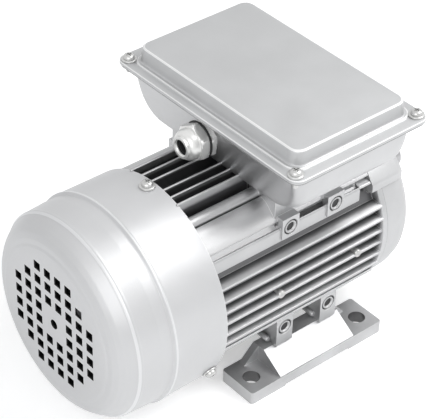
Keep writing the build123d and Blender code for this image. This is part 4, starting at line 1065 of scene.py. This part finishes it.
BELL = (
    (63.4, 51.5), (67.45, 51.5), (70.4, 51.5), (73.4, 60.5), (83.5, 60.5), (86.5, 56.0), (88.5, 48.0),
    (88.5, 29.0), (76.0, 29.0), (76.0, 23.54), (92.0, 23.54), (92.0, 15.04), (97.0, 15.04), (97.0, 29.0),
    (93.5, 33.0), (93.5, 44.0), (95.5, 47.0), (95.5, 51.0), (94.3, 57.5), (91.5, 62.2), (87.0, 65.4),
    (80.0, 67.3), (68.2, 67.9), (67.45, 67.3), (67.45, 55.96), (63.4, 55.96))
LUG = (
    (38.4, 46.0), (38.4, 60.4), (39.2, 61.0), (41.5, 60.5), (45.2, 57.8), (51.0, 52.6), (55.2, 48.2),
    (58.6, 43.6), (59.8, 41.8), (59.8, 36.4), (59.2, 35.8), (52.0, 35.8))
# Stations of a lug along the shaft, and how much of its section is left there.
LUG_STATIONS = ((57.4, 1.0), (82.0, 1.0), (88.0, 0.955), (92.0, 0.87))


class MOTOR_OT_bell(bpy.types.Operator):
    """Build the drive end shield with its two upper lugs"""

    bl_idname = "motor.bell"
    bl_label = "Drive end shield"

    def execute(self, context):
        bm = bmesh.new()
        lathe(bm, BELL)
        for side in SIDES:
            self.lug(bm, side)
        piece = finished(bm, "drive_bell", "casting", stands_for=("drive_end_shield",), smooth_angle=40)
        soften(piece, width=0.0005)
        return {"FINISHED"}

    @staticmethod
    def lug(bm, side):
        """A corner lug that runs out into the bell."""
        rows = skin(bm, [[Vector((x, side * y * keep, SHAFT_MM + z * keep)) * MM for y, z in LUG]
                         for x, keep in LUG_STATIONS])
        bm.faces.new(rows[0])
        bm.faces.new(rows[-1])


BOSS_SPOTS = [(x, side, SHAFT_MM + up * BOSS_LEVEL) for x in BOSS_XS for side in SIDES for up in (-1, 1)]
BOSS_RING = ((-0.85, 3.45), (-0.1, 3.75), (0.0, 3.9), (0.0, 4.5), (-0.15, 4.7), (-0.85, 4.8))
# A dark ring in each boss's seat and a dark disc inside its hole: painted shade.
BOSS_SEAT_SHADE = ((-0.85, 4.75), (-0.80, 4.75), (-0.80, 5.9), (-0.85, 5.9))
BOSS_HOLE_SHADE = ((-1.3, 0.01), (-1.2, 0.01), (-1.2, 3.42), (-1.3, 3.42))
FOOT_HOLE_SPOTS = [(a * 50.0, b * 62.5) for a in SIDES for b in SIDES]
# Walls of the foot holes, painted dark as shade.
FOOT_HOLE_SHADE = ((0.3, 6.25), (0.3, 6.15), (9.6, 6.15), (9.6, 6.25))
LOCK_SPOTS = [(x, side * 66.0, 76.0) for x in (-29.6, 41.0) for side in SIDES]
LOCK_TIP = (
    (-12.2, 0.01), (-12.2, 2.4), (-2.0, 2.4), (-1.6, 3.0), (0.8, 3.0), (1.3, 2.6), (1.5, 1.9), (0.9, 1.1),
    (0.9, 0.01))


class MOTOR_OT_boss_rings(bpy.types.Operator):
    """Build the rings of the bosses' holes with painted shade in their seats and holes, the walls of the
    foot holes painted dark as shade, and the lock screws
    """

    bl_idname = "motor.boss_rings"
    bl_label = "Hole rims and lock screws"

    def execute(self, context):
        spots = [(x, side * BOSS_FACE, z) for x, side, z in BOSS_SPOTS]
        self.rings("boss_hole_rings", spots, BOSS_RING, "casting")
        # Painted shade in the seats and holes of the bosses.
        self.rings("boss_hole_grooves", spots, BOSS_SEAT_SHADE, "groove")
        self.rings("boss_hole_depths", spots, BOSS_HOLE_SHADE, "groove")
        # The foot holes' walls get painted shade.
        bm = bmesh.new()
        for x, y in FOOT_HOLE_SPOTS:
            centre = Vector((x, y, 0)) * MM
            skin(bm, rings_about(FOOT_HOLE_SHADE, centre, Z_AXIS, X_AXIS, Y_AXIS, HOLE_STEPS), closed=True)
        finished(bm, "foot_hole_walls", "bore")
        self.rings("lock_screw_tips", LOCK_SPOTS, LOCK_TIP, "zinc_steel", ("stator_lock_screws",))
        return {"FINISHED"}

    @staticmethod
    def rings(name, spots, outline, material, stands_for=()):
        """Turned rings that face away from the shaft to the left and right of it."""
        bm = bmesh.new()
        for x, y, z in spots:
            outward = Y_AXIS * math.copysign(1, y)
            centre = Vector((x, y, z)) * MM
            skin(bm, rings_about(outline, centre, outward, X_AXIS, Z_AXIS, HOLE_STEPS), closed=True)
        finished(bm, name, material, stands_for=stands_for, smooth_angle=40)


# Finishes of CAD nodes that are not named after their slot in the record.
NODE_FINISHES = {
    "cover_gasket": "grey_gasket", "drive_end_shield": "casting", "rear_end_shield": "casting",
    "left_foot": "foot_paint", "right_foot": "foot_paint", "terminal_box_base": "box_paint"}


class MOTOR_OT_finishes(bpy.types.Operator):
    """Put a finish on every carried-over CAD node"""

    bl_idname = "motor.finishes"
    bl_label = "Finishes of CAD nodes"

    def execute(self, context):
        for part in frame["record"]["subparts"]:
            node = frame["nodes"][part["node"]]
            node.data.materials.clear()
            node.data.materials.append(finish(NODE_FINISHES.get(part["node"], part["material_slot"])))
        return {"FINISHED"}


FLOOR_HALF = 3.0
FLOOR_LEVEL = -0.0002
FLOOR_GRAIN, FLOOR_BLOTCH, FLOOR_UNEVEN = 60.0, 3.0, 1.01
WHITE = (1.0, 1.0, 1.0, 1.0)
ROOM_COLOUR = (0.97, 0.985, 1.0, 1.0)
LAMP_TARGET = Vector((0.0, 0.0, 0.08))
KEY_PLACE, KEY_SIZE = (0.75, -0.50, 1.15), 1.0
FILL_PLACE, FILL_SIZE = (-0.90, -0.60, 0.75), 0.9
# The fitted camera: its place, and the directions to its right, up and back.
CAMERA_PLACE = (-0.666816, -0.728984, 0.850992)
CAMERA_AXES = (
    (0.765502, -0.643083, 0.021236), (0.378912, 0.477226, 0.792894), (-0.520031, -0.598916, 0.608989))


class MOTOR_OT_stage(bpy.types.Operator):
    """Set the floor, the soft lamps and the camera at the photograph's angle"""

    bl_idname = "motor.stage"
    bl_label = "Stage"

    def execute(self, context):
        settings = context.scene.motor_stage
        context.scene.view_settings.view_transform = "Standard"
        self.floor(settings)
        self.world(settings)
        self.lamp("key_lamp", KEY_PLACE, KEY_SIZE, settings.key_power)
        self.lamp("fill_lamp", FILL_PLACE, FILL_SIZE, settings.fill_power)
        self.camera(settings)
        return {"FINISHED"}

    @staticmethod
    def floor(settings):
        """A wide pale floor under the feet."""
        bm = bmesh.new()
        bmesh.ops.create_grid(bm, x_segments=8, y_segments=8, size=FLOOR_HALF)
        mesh = bpy.data.meshes.new("pale_floor")
        bm.to_mesh(mesh)
        bm.free()
        floor = bpy.data.objects.new("pale_floor", mesh)
        floor.location.z = FLOOR_LEVEL
        bpy.context.scene.collection.objects.link(floor)
        material = bpy.data.materials.new("Pale floor")
        material.use_nodes = True
        tree = material.node_tree
        shader = tree.nodes["Principled BSDF"]
        surface = group_node(tree, "Metal grain", Grain_Scale=FLOOR_GRAIN, Blotch_Scale=FLOOR_BLOTCH)
        colour = mix_colour(tree, surface.outputs["Blotch"], settings.floor_colour,
                            tint(settings.floor_colour, FLOOR_UNEVEN))
        tree.links.new(colour, shader.inputs["Base Color"])
        shader.inputs["Roughness"].default_value = 0.7
        shader.inputs["Specular IOR Level"].default_value = 0.0
        shader.inputs["Emission Color"].default_value = WHITE
        lift = math_node(tree, "MULTIPLY", seen_rays(tree), settings.floor_lift)
        tree.links.new(lift, shader.inputs["Emission Strength"])
        mesh.materials.append(material)

    @staticmethod
    def world(settings):
        """Even light all round, and plain white behind the object for camera and mirror rays."""
        world = bpy.data.worlds.new("Soft room")
        bpy.context.scene.world = world
        world.use_nodes = True
        tree = world.node_tree
        tree.nodes.clear()
        out = tree.nodes.new("ShaderNodeOutputWorld")
        room = tree.nodes.new("ShaderNodeBackground")
        room.inputs["Color"].default_value = ROOM_COLOUR
        room.inputs["Strength"].default_value = settings.ambient
        white = tree.nodes.new("ShaderNodeBackground")
        white.inputs["Color"].default_value = WHITE
        white.inputs["Strength"].default_value = 1.0
        mix = tree.nodes.new("ShaderNodeMixShader")
        tree.links.new(seen_rays(tree), mix.inputs["Fac"])
        tree.links.new(room.outputs[0], mix.inputs[1])
        tree.links.new(white.outputs[0], mix.inputs[2])
        tree.links.new(mix.outputs[0], out.inputs["Surface"])

    @staticmethod
    def lamp(name, place, size, power):
        """A soft square lamp aimed at the middle of the motor."""
        data = bpy.data.lights.new(name, "AREA")
        data.shape = "SQUARE"
        data.size = size
        data.energy = power
        lamp = bpy.data.objects.new(name, data)
        bpy.context.scene.collection.objects.link(lamp)
        lamp.location = place
        lamp.rotation_euler = (LAMP_TARGET - Vector(place)).to_track_quat("-Z", "Y").to_euler()

    @staticmethod
    def camera(settings):
        """The camera at the photograph's view."""
        data = bpy.data.cameras.new("motor_camera")
        data.sensor_width = 36.0
        data.lens = settings.lens
        data.clip_end = 20.0
        camera = bpy.data.objects.new("motor_camera", data)
        bpy.context.scene.collection.objects.link(camera)
        turn = Matrix(CAMERA_AXES).transposed().to_4x4()
        camera.matrix_world = Matrix.Translation(CAMERA_PLACE) @ turn
        bpy.context.scene.camera = camera


class MOTOR_PT_panel(bpy.types.Panel):
    """Lists the pieces of the dressed motor."""

    bl_idname = "MOTOR_PT_panel"
    bl_label = "Motor"
    bl_space_type = "VIEW_3D"
    bl_region_type = "UI"
    bl_category = "Motor"

    def draw(self, context):
        column = self.layout.column()
        for operator in OPERATORS:
            column.operator(operator.bl_idname)
        for name in ("motor_sizes", "motor_colours", "motor_stage"):
            settings = getattr(context.scene, name)
            for item in settings.bl_rna.properties:
                if item.identifier not in ("rna_type", "name"):
                    column.prop(settings, item.identifier)


OPERATORS = (MOTOR_OT_cowl, MOTOR_OT_box_cover, MOTOR_OT_box_base, MOTOR_OT_fasteners, MOTOR_OT_gland,
             MOTOR_OT_barrel, MOTOR_OT_bell, MOTOR_OT_boss_rings, MOTOR_OT_finishes, MOTOR_OT_stage)
SETTINGS = (("motor_sizes", MotorSizes), ("motor_colours", MotorColours), ("motor_stage", MotorStage))


def register():
    """Register the settings, operators and panel."""
    for name, group in SETTINGS:
        bpy.utils.register_class(group)
        setattr(bpy.types.Scene, name, bpy.props.PointerProperty(type=group))
    for item in OPERATORS:
        bpy.utils.register_class(item)
    bpy.utils.register_class(MOTOR_PT_panel)


def unregister():
    """Take the panel, operators and settings away again."""
    bpy.utils.unregister_class(MOTOR_PT_panel)
    for item in reversed(OPERATORS):
        bpy.utils.unregister_class(item)
    for name, group in reversed(SETTINGS):
        delattr(bpy.types.Scene, name)
        bpy.utils.unregister_class(group)


def main():
    register()
    bpy.ops.motor.cowl()
    bpy.ops.motor.box_cover()
    bpy.ops.motor.box_base()
    bpy.ops.motor.fasteners()
    bpy.ops.motor.gland()
    bpy.ops.motor.barrel()
    bpy.ops.motor.bell()
    bpy.ops.motor.boss_rings()
    bpy.ops.motor.finishes()
    bpy.ops.motor.stage()


if __name__ == "__main__":
    main()
